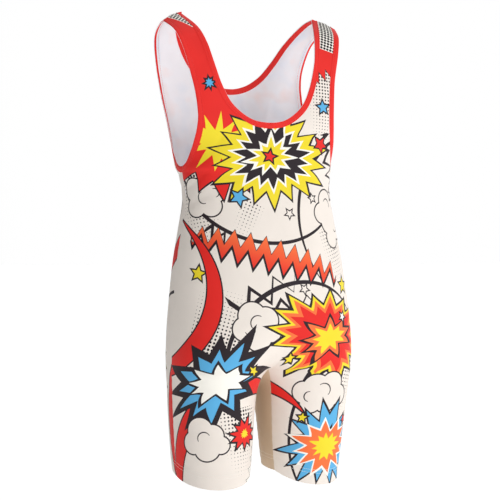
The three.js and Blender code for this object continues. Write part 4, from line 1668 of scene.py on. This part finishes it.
class SINGLET_OT_stage(bpy.types.Operator):
    """Pale floor, soft lights and the camera at the photograph's angle"""

    bl_idname = "singlet.stage"
    bl_label = "Stage"

    def execute(self, context):
        scene = context.scene
        deselect_all()
        level = cad_box[0][2] - FLOOR_DROP
        bpy.ops.mesh.primitive_plane_add(size=FLOOR_SIZE, location=(0, 0, level))
        floor = context.object
        floor.name = "stage_floor"
        bpy.ops.object.transform_apply(location=True)
        pale = bpy.data.materials.new("stage_white")
        pale.use_nodes = True
        surface = pale.node_tree.nodes["Principled BSDF"]
        surface.inputs["Base Color"].default_value = (FLOOR_PALE, FLOOR_PALE, FLOOR_PALE, 1)
        surface.inputs["Roughness"].default_value = FLOOR_ROUGHNESS
        surface.inputs["Emission Color"].default_value = (1, 1, 1, 1)
        surface.inputs["Emission Strength"].default_value = FLOOR_GLOW
        floor.data.materials.append(pale)
        turn = math.radians(CAMERA_AZIMUTH)
        dark_side = Vector((-math.cos(turn), -math.sin(turn), 0))
        front_side = Vector((math.sin(turn), -math.cos(turn), 0))
        scene.world = self.studio(((dark_side, DARK_SIDE_FALL), (front_side, FRONT_FALL)))
        self.key_light()
        lens = bpy.data.cameras.new("photo_camera")
        camera = bpy.data.objects.new("photo_camera", lens)
        scene.collection.objects.link(camera)
        camera.location = front_side * CAMERA_DISTANCE + Vector((0, 0, CAMERA_HEIGHT))
        camera.rotation_euler = (math.pi / 2, 0, turn)
        lens.sensor_width = SENSOR_WIDTH
        lens.lens = PIXELS_PER_MILLIMETRE * CAMERA_DISTANCE / MM * SENSOR_WIDTH / PICTURE_WIDTH
        lens.clip_end = CLIP_END
        scene.camera = camera
        scene.view_settings.view_transform = "Standard"
        return {"FINISHED"}

    @staticmethod
    def studio(falls):
        """A white studio that is dimmer in front and darkest towards one side."""
        world = bpy.data.worlds.new("studio")
        world.use_nodes = True
        nodes, links = world.node_tree.nodes, world.node_tree.links
        direction = nodes.new("ShaderNodeTexCoord")
        strength = nodes.new("ShaderNodeMath")
        strength.operation = "MULTIPLY"
        for place, (side, (begins, ends, least)) in enumerate(falls):
            towards = nodes.new("ShaderNodeVectorMath")
            towards.operation = "DOT_PRODUCT"
            towards.inputs[1].default_value = side
            light = nodes.new("ShaderNodeMapRange")
            light.interpolation_type = "SMOOTHSTEP"
            light.inputs["From Min"].default_value = begins
            light.inputs["From Max"].default_value = ends
            light.inputs["To Min"].default_value = 1.0
            light.inputs["To Max"].default_value = least
            links.new(direction.outputs["Generated"], towards.inputs[0])
            links.new(towards.outputs["Value"], light.inputs["Value"])
            links.new(light.outputs["Result"], strength.inputs[place])
        background = nodes["Background"]
        background.inputs["Color"].default_value = (1, 1, 1, 1)
        links.new(strength.outputs["Value"], background.inputs["Strength"])
        return world

    @staticmethod
    def key_light():
        """A soft square light that faces the middle of the garment."""
        lamp = bpy.data.lights.new("key", "AREA")
        lamp.size = KEY_SIZE
        lamp.energy = KEY_POWER
        item = bpy.data.objects.new("key", lamp)
        bpy.context.scene.collection.objects.link(item)
        item.location = KEY_PLACE
        aim = Vector((0, 0, KEY_AIM)) - Vector(KEY_PLACE)
        item.rotation_euler = aim.to_track_quat("-Z", "Y").to_euler()


class SINGLET_PT_sidebar(bpy.types.Panel):
    """The singlet's pieces and sizes"""

    bl_idname = "SINGLET_PT_sidebar"
    bl_label = "Singlet"
    bl_space_type = "VIEW_3D"
    bl_region_type = "UI"
    bl_category = "Singlet"

    def draw(self, context):
        layout = self.layout
        for group in (context.scene.singlet_sizes, context.scene.singlet_colours):
            for name in group.__annotations__:
                layout.prop(group, name)
        for operator in OPERATORS:
            layout.operator(operator.bl_idname)


OPERATORS = (
    SINGLET_OT_panels,
    SINGLET_OT_gusset,
    SINGLET_OT_bindings,
    SINGLET_OT_hems,
    SINGLET_OT_stitches,
    SINGLET_OT_stage,
)
CLASSES = (SingletColours, SingletSizes, *OPERATORS, SINGLET_PT_sidebar)


def register():
    """Makes the operators, properties and sidebar known."""
    for cls in CLASSES:
        bpy.utils.register_class(cls)
    bpy.types.Scene.singlet_colours = bpy.props.PointerProperty(type=SingletColours)
    bpy.types.Scene.singlet_sizes = bpy.props.PointerProperty(type=SingletSizes)


def unregister():
    """Takes them away again."""
    del bpy.types.Scene.singlet_sizes
    del bpy.types.Scene.singlet_colours
    for cls in reversed(CLASSES):
        bpy.utils.unregister_class(cls)


def main():
    """Makes every piece and the stage."""
    register()
    deselect_all()
    bpy.ops.singlet.panels()
    bpy.ops.singlet.gusset()
    bpy.ops.singlet.bindings()
    bpy.ops.singlet.hems()
    bpy.ops.singlet.stitches()
    bpy.ops.singlet.stage()


if __name__ == "__main__":
    main()
